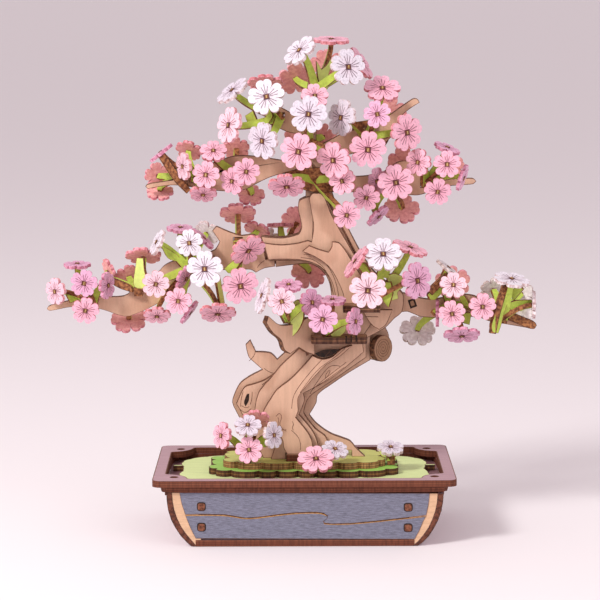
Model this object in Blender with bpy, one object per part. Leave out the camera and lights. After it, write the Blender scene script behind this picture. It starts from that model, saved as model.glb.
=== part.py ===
"""Cherry blossom bonsai built from laser-cut plywood, standing in a plywood tray.

The frame is metres with +Z up and +X to the viewer's right. The front faces -Y. The origin is the
middle of the tray's underside. Every wooden piece is a flat board, so most solids are a flat
outline with a thickness. Outlines and flower places were read off a front view, so they are kept
as picture points and turned into real places by seen().
"""

import math

import bmesh
import bpy
from mathutils import Matrix, Vector

# Thickness of the boards, and the gap left between loose pieces
PLY = 0.003
FLOWER_PLY = 0.0015
FIT_GAP = 0.0003

# The eye of the front view: where it stands, its focal length in picture points, the picture row
# that lies level with it, and how far a level line climbs per picture point to the right.
EYE = Vector((-0.0018, -1.162, 0.268))
FOCAL = 2486.0
LEVEL_ROW = -44.4
CLIMB = 0.0063
MIDDLE_COLUMN = 300.0

# Tray
TRAY_HEIGHT = 0.031
RIM_SIZE = (0.138, 0.084)
LOWER_RIM_SIZE = (0.132, 0.079)
RIM_OPENING = (0.127, 0.073)
RIM_CORNER = 0.0045
EAR_RADIUS = 0.0055
EAR_HOLE = 0.0016
BODY_TOP = 0.1256
BODY_BOTTOM = 0.101
BODY_DEPTH = 0.077
PANEL_TOP = 0.1128
PANEL_FOOT = 0.0470
END_WALL = 0.0024
END_CLEARANCE = 0.0027
FRAME_INNER = 0.0435
BOARD_CORNER = 0.001
LOWER_OPENING_CORNER = 0.006

# Ground boards, as the ovals that their wavy edges follow
SOIL_SIZE = (0.1255, 0.0725)
MOSS_LOW_SIZE = (0.094, 0.0465)
MOSS_HIGH_SIZE = (0.080, 0.037)

# Levels of the stacked boards, counted down from the rim's top
RIM_TOP = TRAY_HEIGHT
LOWER_RIM_TOP = RIM_TOP - PLY
PANEL_TOP_LEVEL = LOWER_RIM_TOP - PLY
SOIL_TOP = LOWER_RIM_TOP
FLOOR_TOP = SOIL_TOP - PLY
MOSS_LOW_TOP = SOIL_TOP + PLY
MOSS_HIGH_TOP = MOSS_LOW_TOP + PLY
ROOT_TOP = MOSS_HIGH_TOP + PLY
ROOT_LEFT = -0.0083
ROOT_RIGHT = 0.022
ROOT_HALF_DEPTH = 0.013

# Platforms that carry the low front twigs, seen from above, and the brackets under them
LOW_PLATFORM_TOP = 0.093
RIGHT_PLATFORM_TOP = 0.1075
PLATFORM_BACK = -2.5 * PLY - FIT_GAP
LOW_PLATFORM = [
    (0.0075, PLATFORM_BACK), (0.0290, PLATFORM_BACK), (0.0285, -0.0150), (0.0220, -0.0195),
    (0.0120, -0.0200), (0.0060, -0.0170),
]
RIGHT_PLATFORM = [
    (0.0180, PLATFORM_BACK), (0.0400, PLATFORM_BACK), (0.0410, -0.0150), (0.0360, -0.0200),
    (0.0250, -0.0200), (0.0190, -0.0160),
]
POINTED_BRACKET = [(362, 313), (366, 316), (372, 324), (379, 327.5), (386, 323), (392, 313)]
LEFT_BRACKET_START = (0.0040, -0.0098, 0)
LEFT_BRACKET_TURN = math.radians(180 + 37)
LEFT_BRACKET = [
    (0.0, 0.0838), (0.0, 0.1010), (0.0045, 0.1015), (0.0085, 0.0990), (0.0160, 0.0990),
    (0.0200, 0.0990), (0.0262, 0.1040), (0.0275, 0.1010), (0.0240, 0.0960), (0.0190, 0.0925),
    (0.0175, 0.0875), (0.0140, 0.0855), (0.0090, 0.0880), (0.0040, 0.0850),
]

# The sawn end of a cut branch, as the column and row of its middle
KNOT_PLACE = (378.5, 346.5)
KNOT_OFFSET = 0.0010
KNOT_RADIUS = 0.0063
KNOT_TURN = math.radians(45)

# Flowers and twigs
LARGE = 0.0088
SMALL = 0.0064
VALLEY = 0.55
TWIG = 0.0022
PEG = 0.0036
PEG_REACH = 0.003
ARM_SINK = 0.00015

# Drawing of the outlines
SHARP_TURN = math.radians(48)
STEPS = 2
WELD = 0.00002

PLUM = (0.36, 0.22, 0.26, 1)
SLATE = (0.27, 0.28, 0.36, 1)
PALE_WOOD = (0.72, 0.48, 0.29, 1)
TRUNK_TAN = (0.66, 0.42, 0.28, 1)
TRUNK_BROWN = (0.42, 0.22, 0.13, 1)
SOIL_GREEN = (0.63, 0.78, 0.36, 1)
MOSS_GREEN = (0.33, 0.57, 0.14, 1)
MOSS_OLIVE = (0.50, 0.53, 0.10, 1)
PETAL_PINK = (0.88, 0.45, 0.58, 1)

TRUNK_CORE = [
    (238.7, 415.7), (231.4, 401.3), (240.3, 381), (262.6, 368), (253.5, 360), (248.6, 355),
    (245.9, 343), (250.5, 338.2), (256, 350), (270.9, 351), (277.3, 357.6), (292.6, 343.3),
    (305, 331), (319, 318), (330, 306), (331, 290), (326, 273), (312, 262), (295, 262.5),
    (276.2, 265), (276.2, 237.5), (298, 233), (302.2, 224.7), (299, 200.4), (306, 196), (306, 176),
    (303, 150), (302, 128), (304, 108), (307, 92), (309, 80), (323, 80), (324, 92), (320, 110),
    (317, 128), (318, 150), (327, 172), (333, 192), (344.3, 224.7), (358.3, 249.6), (370, 265), (383, 283),
    (392.5, 292), (392.5, 312), (384.5, 325), (370, 331), (370, 358), (349.6, 370.2), (329.3, 384.2),
    (317.4, 393.3), (316.5, 401), (309.2, 413.3), (316.2, 422.2), (331.5, 433), (349.4, 439.4),
    (355, 446),
]
TRUNK_INNER = [
    (241.7, 412.6), (236.1, 402.7), (243.8, 385.2), (264.1, 378.9), (282.4, 364.9), (297.8, 346.6),
    (308, 333), (321, 320), (331, 308), (333, 293), (328, 274), (316, 262), (298, 258.5),
    (268.7, 259), (262.1, 234.8), (283.8, 236.1), (299.1, 232.3), (302.2, 224.7), (298.4, 208),
    (299.5, 199), (308, 195), (331, 193), (341, 212), (353, 236), (366, 259), (380, 276),
    (398, 287), (403, 292), (402, 309), (394, 316), (384.5, 326), (366, 336), (366, 355.4),
    (348.9, 367.4), (332.1, 379.3),
    (312.5, 392.6), (306.8, 399.5), (303.4, 411.9), (315.3, 428), (324.5, 434.3), (327.5, 441),
]
TRUNK_OUTER = [
    (276, 438), (270, 427), (255.7, 415.4), (254.3, 409.8), (258.5, 390.8), (269.8, 377.5),
    (282.4, 362), (299.2, 346.6), (311, 333), (324, 320), (333, 308), (335, 293), (330, 276),
    (319, 263.5), (298, 257.5), (269, 258), (264.6, 241.2), (281.2, 243.1), (299.1, 241.2),
    (308, 238.7), (311.8, 240), (313.8, 222), (309.3, 197), (313, 191.5), (321, 191.5), (325.8, 197.3),
    (331, 211.9), (343.7, 234.8), (363, 268), (374, 287), (377, 302), (374, 318), (363, 334),
    (363.7, 350), (339.1, 370.9), (322.3, 382.1), (303.3, 391.9), (304.7, 399), (299, 413.5),
    (311.1, 427.9), (316.2, 437.5),
]
TRUNK_FACE = [
    (283, 447), (282.4, 440), (273.5, 424.7), (262, 417.2), (263.3, 409.6), (270.9, 396.9),
    (277.3, 387.6), (288.8, 379), (301.5, 366.3), (312.4, 353.8), (322, 357.5), (333, 354.5),
    (341, 347), (352, 343.5), (339.1, 355.4), (324.5, 364.3), (303.4, 388.6), (297.7, 397.5),
    (298.3, 409.6), (295.5, 416.5), (306, 429.2), (311.8, 440),
]
TRUNK_TONGUE = [
    (302.9, 249.5), (309.3, 243.8), (319.5, 247.6), (328.4, 250.2), (331.6, 245.2), (332, 240),
    (339.9, 241.2), (351.4, 258.4), (361, 274), (368, 289),
]
TONGUE_LEFT = [(343, 292), (336, 276), (328.4, 264.2), (314.4, 254.5)]
LEFT_BRANCH = [
    (275.5, 241), (262, 236), (253.1, 232.2), (240.9, 233.7), (217.8, 224.5), (213.7, 229.1),
    (220.8, 239.8), (216, 248), (207, 252), (204, 260), (212, 267), (236, 268), (251, 267.5),
    (256.5, 270.6), (264.7, 266.3), (275.5, 264.5),
]
FAR_LEFT_BRANCH = [
    (216, 255), (195.3, 256.7), (174.9, 259.3), (165.5, 264), (159.4, 271.2), (146.1, 280.4),
    (135.9, 285.5), (126.7, 295.7), (95.1, 295.7), (73.7, 298.8), (50, 304.8), (48, 308),
    (51, 310.4), (73.7, 305.4), (100.2, 307), (126.7, 316.6), (142, 311), (160, 302), (180, 286),
    (200, 275), (216, 269),
]
UPPER_LEFT_BRANCH = [
    (312, 161), (290, 160), (270, 157), (255.5, 155), (235, 155), (217.8, 160.8), (205, 165),
    (175, 178.5), (159.6, 181.2), (149.4, 183.3), (148, 185.6), (150.4, 187.9), (175.9, 183.8),
    (205, 188), (238.2, 190.4), (250.4, 186.5), (261.6, 180.2), (280, 173), (314, 170),
]
CROWN_LEFT_BRANCH = [
    (315, 122), (298, 116), (284, 108), (270, 103), (265, 108), (274, 123), (290, 132), (315, 134),
]
UPPER_RIGHT_BRANCH = [
    (309, 149), (330, 139), (345, 131), (372, 124), (389.4, 113.7), (411.8, 97.9), (416.5, 98.5),
    (418.2, 102), (401.6, 113.7), (393, 130), (386, 141), (362, 150), (340, 155), (309, 156),
]
RIGHT_BRANCH = [
    (319, 177), (345, 175), (380, 172), (397, 160), (410, 159), (420, 170), (440, 176.5),
    (471, 176), (474.5, 179), (471, 182.3), (445, 184), (428, 190), (415, 193.5), (380, 190),
    (346, 190.5), (319, 190),
]
RIGHT_MIDDLE_BRANCH = [
    (394.3, 291), (402, 290), (410, 293), (432, 297), (455, 292), (472, 292.5), (484, 299),
    (488, 308), (480, 315), (470, 314), (448, 315), (420, 314.5), (407, 309), (394.3, 311.5),
]
FAR_RIGHT_BRANCH = [
    (468, 300), (488, 305), (506, 310.5), (522, 315.5), (533.5, 319.5), (535.6, 323), (531.5, 326.2),
    (514, 323), (498, 320.5), (486, 318), (470, 309),
]

# Each flower is column, row, depth in millimetres behind the middle of the trunk, the way it
# faces (degrees round from the viewer to the right, then degrees up) and its size.
SPRIGS = {
    "crown_top": ("trunk_core", (316, 90), [
        (300.9, 52.3, -8, -50, 42, LARGE), (331.7, 41.6, 2, 10, 82, LARGE),
        (347.6, 68.3, -17, 25, 14, LARGE), (360.8, 63.7, 6, 72, 32, LARGE),
        (315.2, 97, -19, 5, 32, SMALL), (296, 78, 15, 200, 30, LARGE), (328, 66, 22, 170, 25, LARGE),
    ]),
    "crown_left": ("crown_left_branch", (281, 117), [
        (234.8, 91.6, -5, -62, 50, LARGE), (267.9, 97.9, -19, -5, 22, LARGE),
        (231.3, 125.5, -14, -52, 12, LARGE), (264.3, 140.7, -21, -40, -4, LARGE),
        (267, 83.6, 9, 180, 62, LARGE),
    ]),
    "crown_middle": ("trunk_core", (309, 140), [
        (308.9, 114.8, -28, 0, 8, LARGE), (299.1, 151.4, -27, -8, 0, LARGE),
        (327.7, 135.3, 12, 178, 0, SMALL), (300, 125, 20, 190, 5, LARGE),
        (333.9, 159.5, -23, -28, -8, LARGE),
    ]),
    "crown_right": ("upper_right_branch", (366, 137), [
        (381.7, 89.2, -8, 5, 50, LARGE), (376.6, 114.2, -20, 0, 6, SMALL),
        (405.2, 132, -17, 33, 0, LARGE), (367.4, 148.9, -22, 0, -6, LARGE),
        (341.9, 117.8, -15, -47, 8, LARGE), (388, 112, 14, 172, 15, LARGE),
    ]),
    "crown_low_right": ("right_branch", (388, 183), [
        (395, 181, -15, 6, -6, LARGE), (377.7, 180, -8, -50, 0, SMALL), (366, 196, -14, 0, -14, SMALL),
        (377.5, 213.8, -5, 60, -42, SMALL), (401.1, 207, 10, 180, -45, LARGE),
        (405, 160, 16, 175, 30, LARGE),
    ]),
    "trunk_top": ("trunk_core", (313, 179), [
        (287.6, 185.4, -19, 0, -42, LARGE), (342.4, 180, -20, -18, -4, SMALL),
        (346.3, 213.8, -23, 8, -4, SMALL),
    ]),
    "upper_left_inner": ("upper_left_branch", (238, 173), [
        (247.3, 171, -17, 5, 0, SMALL), (234.1, 180.2, -14, -30, -8, SMALL),
        (252.4, 194, 9, 180, -50, SMALL), (215.2, 150.3, -10, 0, 38, SMALL),
        (237.7, 148, 9, 180, 32, SMALL),
    ]),
    "upper_left_outer": ("upper_left_branch", (196, 176.5), [
        (207.6, 174.1, -15, 0, 0, SMALL), (204.5, 195.5, -10, 0, -50, SMALL),
        (186.1, 165.9, -12, -58, 0, SMALL), (191.2, 149.6, 8, 160, 45, SMALL),
        (163.7, 152.7, -6, -88, 52, SMALL), (159.6, 175.1, 7, -150, 0, SMALL),
        (162, 191, 4, 180, -60, SMALL),
    ]),
    "left_stem": ("left_branch", (239, 240), [
        (239.1, 213, 6, 180, 45, LARGE), (250.4, 249, -17, 25, -28, LARGE),
        (240.9, 284.7, -20, 10, -4, LARGE), (258, 228, 12, 150, 50, SMALL),
    ]),
    "left_rear": (None, (285, 249), [
        (281.2, 223.5, 16, 180, 80, SMALL), (298, 221, 27, 150, 20, LARGE),
        (309.3, 271, 17, 180, -38, LARGE), (267, 238, 22, 180, 10, SMALL),
    ]),
    "left_cluster": ("far_left_branch", (190, 267), [
        (206, 267.9, -22, -10, 5, LARGE), (217.8, 313.8, -14, 0, -50, LARGE),
        (204.5, 237.8, -8, 84, 46, SMALL), (208.6, 231, 8, 150, 30, SMALL),
        (190.9, 242, -14, -5, 8, SMALL), (159.4, 241.6, -8, -72, 26, SMALL),
        (181.8, 227.5, 3, 20, 80, SMALL), (186, 277, -10, 58, -18, SMALL),
        (156.8, 283, -16, 12, 0, SMALL), (179.3, 299.8, -16, -6, 0, SMALL),
        (157.9, 316.6, -9, 0, -45, SMALL), (190, 311, -9, 78, -35, SMALL),
    ]),
    "far_left_stem": ("far_left_branch", (140, 290), [
        (145.1, 255.9, 2, 180, 48, LARGE), (129.8, 321.5, 8, 180, -45, LARGE),
        (130.3, 275.3, 9, 190, 28, SMALL), (111.4, 270.2, 7, 115, 20, SMALL),
    ]),
    "far_left_tip": ("far_left_branch", (95, 300.8), [
        (108.4, 284.5, -12, 64, 0, SMALL), (85.9, 282.4, -15, 0, 4, SMALL),
        (79.3, 264.1, -4, 0, 84, SMALL), (86.9, 309.5, -15, 0, -8, SMALL),
        (57.9, 290.6, -11, -42, 0, SMALL),
    ]),
    "bracket_twig": (None, (287, 326), [
        (263.4, 294.8, -27, -76, 18, LARGE), (281.9, 300.5, -36, 5, 15, SMALL),
        (288.9, 284.6, -24, 0, 72, SMALL), (311.2, 301.2, -26, 40, 10, SMALL),
    ]),
    "platform_twig": (None, (326, 330), [
        (322, 317.8, -34, 0, 2, LARGE), (332.2, 299.3, -22, 0, 80, SMALL),
        (355.2, 319, -28, 42, 0, SMALL),
    ]),
    "right_front_twig": (None, (375, 300), [
        (382.6, 253.3, -25, 0, 35, LARGE), (367.3, 289, -33, 0, 2, LARGE),
        (355.8, 260.5, -22, -80, 36, LARGE), (409.1, 246.7, -12, 60, 68, LARGE),
        (417.7, 278.2, -24, 8, 4, LARGE),
    ]),
    "right_twig": ("right_middle_branch", (450, 303), [
        (446.9, 266.4, -7, 84, 52, SMALL), (452.2, 283.6, -15, 5, 28, SMALL),
        (451.2, 311.8, -16, 0, 0, SMALL), (481.3, 304.6, -17, 5, 0, SMALL),
        (461.2, 332.9, -10, 0, -60, LARGE), (436.8, 311.3, -9, 86, 0, SMALL),
        (417.2, 329, 10, 180, -45, LARGE), (452, 280, 15, 175, 20, LARGE),
    ]),
    "far_right_twig": ("far_right_branch", (501, 316), [
        (510, 277.8, -14, 30, 74, LARGE), (532.5, 302.7, -10, 86, 0, SMALL),
        (491.9, 286.5, 9, 200, 30, SMALL), (523, 291, 12, 150, 10, SMALL),
        (521.5, 306, 13, 175, -18, SMALL),
    ]),
    "right_tip": ("right_branch", (424, 181), [
        (417.4, 161.1, -12, -30, 0, SMALL), (445.5, 163.2, -15, 0, 6, SMALL),
        (445.5, 147.3, -2, 60, 66, SMALL), (460.8, 176.2, -9, 74, -18, SMALL),
        (436.3, 190, -13, 0, -10, SMALL), (450, 165, 14, 180, 12, SMALL),
    ]),
    "base_left": (None, (247, 451), [
        (247.5, 425.5, -28, 0, 25, SMALL), (248.6, 450.4, -30, 0, 4, SMALL),
        (222, 435.8, -24, -52, 8, SMALL), (272.5, 435.2, -26, 52, 8, SMALL),
        (255.7, 419, -16, 180, 42, SMALL),
    ]),
    "base_front": (None, (322, 457), [
        (315.6, 457.5, -28, 0, 45, LARGE), (333.8, 449.5, -20, 20, 42, SMALL),
    ]),
    "base_right": (None, (391, 459), [(389.4, 447.6, -7, 10, 62, SMALL)]),
}

# Depth in millimetres of the front and back end of a twig's foot where it stands on a board or
# behind one, instead of passing through a slot.
FOOT_DEPTHS = {
    "left_rear": (7.8, 12.5),
    "bracket_twig": (-18.2, -14.6),
    "platform_twig": (-17, -13),
    "right_front_twig": (-17, -13),
    "base_left": (-16, -12),
    "base_front": (-17.6, -13.6),
    "base_right": (-8, -4),
}
FOOT_LEVELS = {
    "bracket_twig": 0.0993,
    "platform_twig": LOW_PLATFORM_TOP + FIT_GAP,
    "right_front_twig": RIGHT_PLATFORM_TOP + FIT_GAP,
    "base_left": MOSS_HIGH_TOP + FIT_GAP,
    "base_front": MOSS_HIGH_TOP + FIT_GAP,
    "base_right": MOSS_LOW_TOP + FIT_GAP,
}
FOOT_TALL = 0.004


def seen(column, row, depth):
    """The real place of a picture point, on the upright plane at this depth."""
    scale = (depth - EYE.y) / FOCAL
    level_row = row + (column - MIDDLE_COLUMN) * CLIMB
    x = EYE.x + (column - MIDDLE_COLUMN) * scale
    z = EYE.z - (level_row - LEVEL_ROW) * scale
    return Vector((x, depth, z))


def clear_scene():
    for obj in list(bpy.data.objects):
        bpy.data.objects.remove(obj, do_unlink=True)


def new_collection(name):
    collection = bpy.data.collections.new(name)
    bpy.context.scene.collection.children.link(collection)
    return collection


def painted_wood(name, colour, roughness=0.65):
    material = bpy.data.materials.new(name)
    material.use_nodes = True
    shader = material.node_tree.nodes["Principled BSDF"]
    shader.inputs["Base Color"].default_value = colour
    shader.inputs["Roughness"].default_value = roughness
    shader.inputs["Metallic"].default_value = 0.0
    return material


def turn_at(before, here, after):
    """The angle by which an outline turns at one of its points."""
    arriving = here - before
    leaving = after - here
    return abs(arriving.angle_signed(leaving, 0.0))


def rounded(points, steps=STEPS):
    """The outline with its gentle bends rounded. A sharp turn stays a corner."""
    points = [Vector(point) for point in points]
    count = len(points)
    slopes = []
    for i, here in enumerate(points):
        before = points[i - 1]
        after = points[(i + 1) % count]
        sharp = turn_at(before, here, after) > SHARP_TURN
        slopes.append(None if sharp else (after - before) / 2)
    outline = []
    for i, start in enumerate(points):
        end = points[(i + 1) % count]
        leave = slopes[i]
        arrive = slopes[(i + 1) % count]
        outline.append(start)
        if leave is None and arrive is None:
            continue
        chord = end - start
        leave = chord if leave is None else leave.normalized() * chord.length
        arrive = chord if arrive is None else arrive.normalized() * chord.length
        for step in range(1, steps):
            t = step / steps
            outline.append(
                start * (2 * t**3 - 3 * t**2 + 1)
                + leave * (t**3 - 2 * t**2 + t)
                + end * (3 * t**2 - 2 * t**3)
                + arrive * (t**3 - t**2)
            )
    return outline


def flat_board(name, outlines, thickness, place):
    """A mesh object of a flat outline, with holes, extruded evenly to both sides of its plane."""
    curve = bpy.data.curves.new(name, "CURVE")
    curve.dimensions = "2D"
    curve.fill_mode = "BOTH"
    curve.extrude = thickness / 2
    for outline in outlines:
        spline = curve.splines.new("POLY")
        spline.points.add(len(outline) - 1)
        for point, corner in zip(spline.points, outline):
            point.co = (corner[0], corner[1], 0.0, 1.0)
        spline.use_cyclic_u = True
    drawn = bpy.data.objects.new(name + "_outline", curve)
    bpy.context.scene.collection.objects.link(drawn)
    graph = bpy.context.evaluated_depsgraph_get()
    mesh = bpy.data.meshes.new_from_object(drawn.evaluated_get(graph))
    bpy.data.objects.remove(drawn, do_unlink=True)
    bpy.data.curves.remove(curve)
    weld(mesh)
    mesh.name = name
    board = bpy.data.objects.new(name, mesh)
    board.matrix_world = place
    return board


def weld(mesh):
    solid = bmesh.new()
    solid.from_mesh(mesh)
    bmesh.ops.remove_doubles(solid, verts=solid.verts, dist=WELD)
    bmesh.ops.recalc_face_normals(solid, faces=solid.faces)
    solid.to_mesh(mesh)
    solid.free()


def upright(depth):
    """Stands a flat outline up at this depth: its x stays x and its y becomes z."""
    return Matrix.Translation((0, depth, 0)) @ Matrix.Rotation(math.pi / 2, 4, "X")


def lying(middle_level):
    return Matrix.Translation((0, 0, middle_level))


def picture_outline(points, depth):
    return [(place.x, place.z) for place in (seen(c, r, depth) for c, r in points)]


def finish(board, material, collection):
    board.data.materials.clear()
    board.data.materials.append(material)
    collection.objects.link(board)
    return board


def box(name, low, high, collection):
    """A box between two opposite corners."""
    low = Vector(low)
    high = Vector(high)
    mesh = bpy.data.meshes.new(name)
    solid = bmesh.new()
    bmesh.ops.create_cube(solid, size=1)
    bmesh.ops.scale(solid, vec=high - low, verts=solid.verts)
    bmesh.ops.translate(solid, vec=(low + high) / 2, verts=solid.verts)
    solid.to_mesh(mesh)
    solid.free()
    made = bpy.data.objects.new(name, mesh)
    collection.objects.link(made)
    return made


def helper(obj):
    obj.hide_render = True
    obj.display_type = "WIRE"
    return obj


def boolean(target, other, operation):
    modifier = target.modifiers.new(operation.lower() + "_" + other.name, "BOOLEAN")
    modifier.operation = operation
    modifier.solver = "EXACT"
    modifier.object = other


def chamfered(size, cut):
    """A rectangle about the origin with its corners cut off."""
    x, y = size[0] / 2, size[1] / 2
    corners = []
    for sx, sy in ((1, -1), (1, 1), (-1, 1), (-1, -1)):
        pair = [(sx * x, sy * (y - cut)), (sx * (x - cut), sy * y)]
        corners.extend(pair if sx * sy > 0 else pair[::-1])
    return corners


def ring(centre, radius, steps=8):
    turn = 2 * math.pi / steps
    return [
        (centre[0] + radius * math.cos(i * turn), centre[1] + radius * math.sin(i * turn))
        for i in range(steps)
    ]


def tray_rims(collection, woods):
    """Two frames, stacked and stepped, round the open top. Each corner has an ear with a hole."""
    x = RIM_OPENING[0] / 2
    y = RIM_OPENING[1] / 2
    notch = EAR_RADIUS * 2
    opening = [
        (x, -y + notch), (x, y - notch), (x - notch * 0.8, y - notch), (x - notch, y),
        (-x + notch, y), (-x + notch * 0.8, y - notch), (-x, y - notch), (-x, -y + notch),
        (-x + notch * 0.8, -y + notch), (-x + notch, -y), (x - notch, -y),
        (x - notch * 0.8, -y + notch),
    ]
    holes = []
    for sx in (1, -1):
        for sy in (1, -1):
            holes.append(ring((sx * (x - notch * 0.42), sy * (y - notch * 0.42)), EAR_HOLE))
    upper = flat_board(
        "upper_rim", [chamfered(RIM_SIZE, RIM_CORNER), opening] + holes, PLY, lying(RIM_TOP - PLY / 2)
    )
    finish(upper, woods["plum"], collection)
    plain = chamfered(RIM_OPENING, LOWER_OPENING_CORNER)
    lower = flat_board(
        "lower_rim", [chamfered(LOWER_RIM_SIZE, RIM_CORNER), plain], PLY, lying(LOWER_RIM_TOP - PLY / 2)
    )
    finish(lower, woods["plum"], collection)


def end_curve(half_top, half_bottom, level):
    """Half width of the tray's body at a level: steep under the rim and curling in at the foot."""
    rise = min(max(level / PANEL_TOP_LEVEL, 0.0), 1.0)
    return half_bottom + (half_top - half_bottom) * math.sin(rise * math.pi / 2) ** 0.8


def end_levels(bottom, top, count=6):
    return [bottom + (top - bottom) * (i / count) ** 1.5 for i in range(count + 1)]


def tray_body(collection, woods):
    """Curved end walls, a pale curved frame behind each face, and slate panels in two halves."""
    frame_curve = [
        (end_curve(BODY_TOP / 2, BODY_BOTTOM / 2, z), z) for z in end_levels(PLY, PANEL_TOP_LEVEL)
    ]
    for sign, side in ((-1, "left"), (1, "right")):
        levels = end_levels(0.0, PANEL_TOP_LEVEL)
        outer = [(sign * end_curve(BODY_TOP / 2, BODY_BOTTOM / 2, z), z) for z in levels]
        inner = [(x - sign * END_WALL, z) for x, z in reversed(outer)]
        end_wall = flat_board(side + "_end_wall", [outer + inner], BODY_DEPTH, upright(0))
        finish(end_wall, woods["plum"], collection)
        for face, y in (("front", -1), ("back", 1)):
            frame_outer = [(sign * (half - END_WALL - FIT_GAP), z) for half, z in frame_curve]
            frame_inner = [(sign * FRAME_INNER, z) for z in (PANEL_TOP_LEVEL, PLY)]
            outline = frame_outer + frame_inner
            depth = y * (BODY_DEPTH / 2 - PLY * 1.5 - FIT_GAP)
            frame = flat_board(side + "_" + face + "_frame", [outline], PLY, upright(depth))
            finish(frame, woods["pale"], collection)
    slate_panels(collection, woods)
    base_size = (BODY_BOTTOM - 2 * END_CLEARANCE, BODY_DEPTH)
    base_board = flat_board("base_plate", [chamfered(base_size, BOARD_CORNER)], PLY, lying(PLY / 2))
    finish(base_board, woods["plum"], collection)
    floor_half = end_curve(BODY_TOP / 2, BODY_BOTTOM / 2, FLOOR_TOP - PLY) - END_CLEARANCE
    floor_size = (2 * floor_half, BODY_DEPTH - 4 * PLY - 6 * FIT_GAP)
    floor_place = lying(FLOOR_TOP - PLY / 2)
    floor = flat_board("tray_floor", [chamfered(floor_size, BOARD_CORNER)], PLY, floor_place)
    finish(floor, woods["plum"], collection)


def wave(level):
    """The wavy seam between the two slate panels, left to right."""
    return [
        (-0.0530, level), (-0.0350, level + 0.0002), (-0.0270, level - 0.0012), (-0.0200, level - 0.0008),
        (-0.0040, level + 0.0010), (0.0060, level + 0.0012), (0.0130, level - 0.0006),
        (0.0200, level - 0.0034), (0.0350, level - 0.0016), (0.0530, level - 0.0004),
    ]


def slate_panels(collection, woods):
    """The front has an upper and a lower slate board that meet along a wavy seam. The back has one."""
    top = PANEL_TOP_LEVEL
    bottom = PLY + FIT_GAP
    depth = BODY_DEPTH / 2 - PLY / 2
    seam = wave(PLY + 0.49 * (top - PLY))
    upper = [(-PANEL_TOP / 2, top)] + seam + [(PANEL_TOP / 2, top)]
    finish(flat_board("front_panel_upper", [upper], PLY, upright(-depth)), woods["slate"], collection)
    foot = [(-PANEL_FOOT, bottom), (PANEL_FOOT, bottom)]
    lower = foot + [(x, z - FIT_GAP) for x, z in reversed(seam)]
    finish(flat_board("front_panel_lower", [lower], PLY, upright(-depth)), woods["slate"], collection)
    back = foot + [(PANEL_TOP / 2, top), (-PANEL_TOP / 2, top)]
    finish(flat_board("back_panel", [back], PLY, upright(depth)), woods["slate"], collection)


def scalloped(size, scallops, height, phase=0.0):
    """An oval with a wavy edge, like a cushion of moss seen from above."""
    points = []
    for i in range(scallops * 3):
        angle = phase + 2 * math.pi * i / (scallops * 3)
        swell = 1 - height * (i % 3 == 0)
        flat = 1 - 0.10 * math.cos(4 * angle)
        points.append((
            size[0] / 2 * swell * flat * math.cos(angle),
            size[1] / 2 * swell * flat * math.sin(angle),
        ))
    return points


def ground(collection, woods):
    """The painted soil board, two moss boards and the board that the roots stand on."""
    roots = [
        (ROOT_LEFT, -ROOT_HALF_DEPTH), (ROOT_RIGHT, -ROOT_HALF_DEPTH), (ROOT_RIGHT, ROOT_HALF_DEPTH),
        (ROOT_LEFT, ROOT_HALF_DEPTH),
    ]
    layout = (
        ("soil_board", scalloped(SOIL_SIZE, 14, 0.02), SOIL_TOP, "soil"),
        ("moss_low", scalloped(MOSS_LOW_SIZE, 19, 0.05), MOSS_LOW_TOP, "moss"),
        ("moss_high", scalloped(MOSS_HIGH_SIZE, 15, 0.06, 0.2), MOSS_HIGH_TOP, "olive"),
        ("root_board", roots, ROOT_TOP, "brown"),
    )
    for name, outline, top, wood in layout:
        board = flat_board(name, [outline], PLY, lying(top - PLY / 2))
        finish(board, woods[wood], collection)


def trunk_outline(points, depth, left, right):
    """A trunk board: its read outline, closed below along the stepped line where it stands.

    left and right are the x of its lowest corners. A corner past the root board's end reaches
    down to the moss, and one over it stops on its top.
    """
    outline = [Vector(point) for point in picture_outline(points, depth)]
    foot = []
    if right > ROOT_RIGHT:
        foot += [(right, MOSS_HIGH_TOP), (ROOT_RIGHT + FIT_GAP, MOSS_HIGH_TOP)]
        foot += [(ROOT_RIGHT + FIT_GAP, ROOT_TOP)]
    else:
        foot += [(right, ROOT_TOP)]
    if left < ROOT_LEFT:
        foot += [(ROOT_LEFT - FIT_GAP, ROOT_TOP), (ROOT_LEFT - FIT_GAP, MOSS_HIGH_TOP)]
        foot += [(left, MOSS_HIGH_TOP)]
    else:
        foot += [(left, ROOT_TOP)]
    return rounded(outline + [Vector(point) for point in foot])


def trunk(collection, woods):
    """Seven upright boards, glued face to face. The back three repeat the front three."""
    core = trunk_outline(TRUNK_CORE, 0.0, -0.0205, 0.0285)
    board = flat_board("trunk_core", [core], PLY, upright(0.0))
    boards = {"trunk_core": finish(board, woods["tan"], collection)}
    layers = (
        ("inner", TRUNK_INNER, 1, -0.0190, 0.0112),
        ("outer", TRUNK_OUTER, 2, -0.0155, 0.0075),
        ("face", TRUNK_FACE, 3, -0.0079, 0.0042),
    )
    for name, points, place, left, right in layers:
        depth = PLY * place
        outline = trunk_outline(points, -depth, left, right)
        for side, y in (("front", -depth), ("back", depth)):
            board = flat_board("trunk_" + side + "_" + name, [outline], PLY, upright(y))
            finish(board, woods["tan"], collection)
    depth = -PLY * 3
    tongue = picture_outline(TRUNK_TONGUE, depth)
    right = picture_outline([(372, 300)], depth)[0][0]
    left = picture_outline([(344, 300)], depth)[0][0]
    tongue += [(right, RIGHT_PLATFORM_TOP), (left, RIGHT_PLATFORM_TOP)]
    tongue += picture_outline(TONGUE_LEFT, depth)
    board = flat_board("trunk_tongue", [rounded(tongue)], PLY, upright(depth))
    finish(board, woods["tan"], collection)
    return boards


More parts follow.
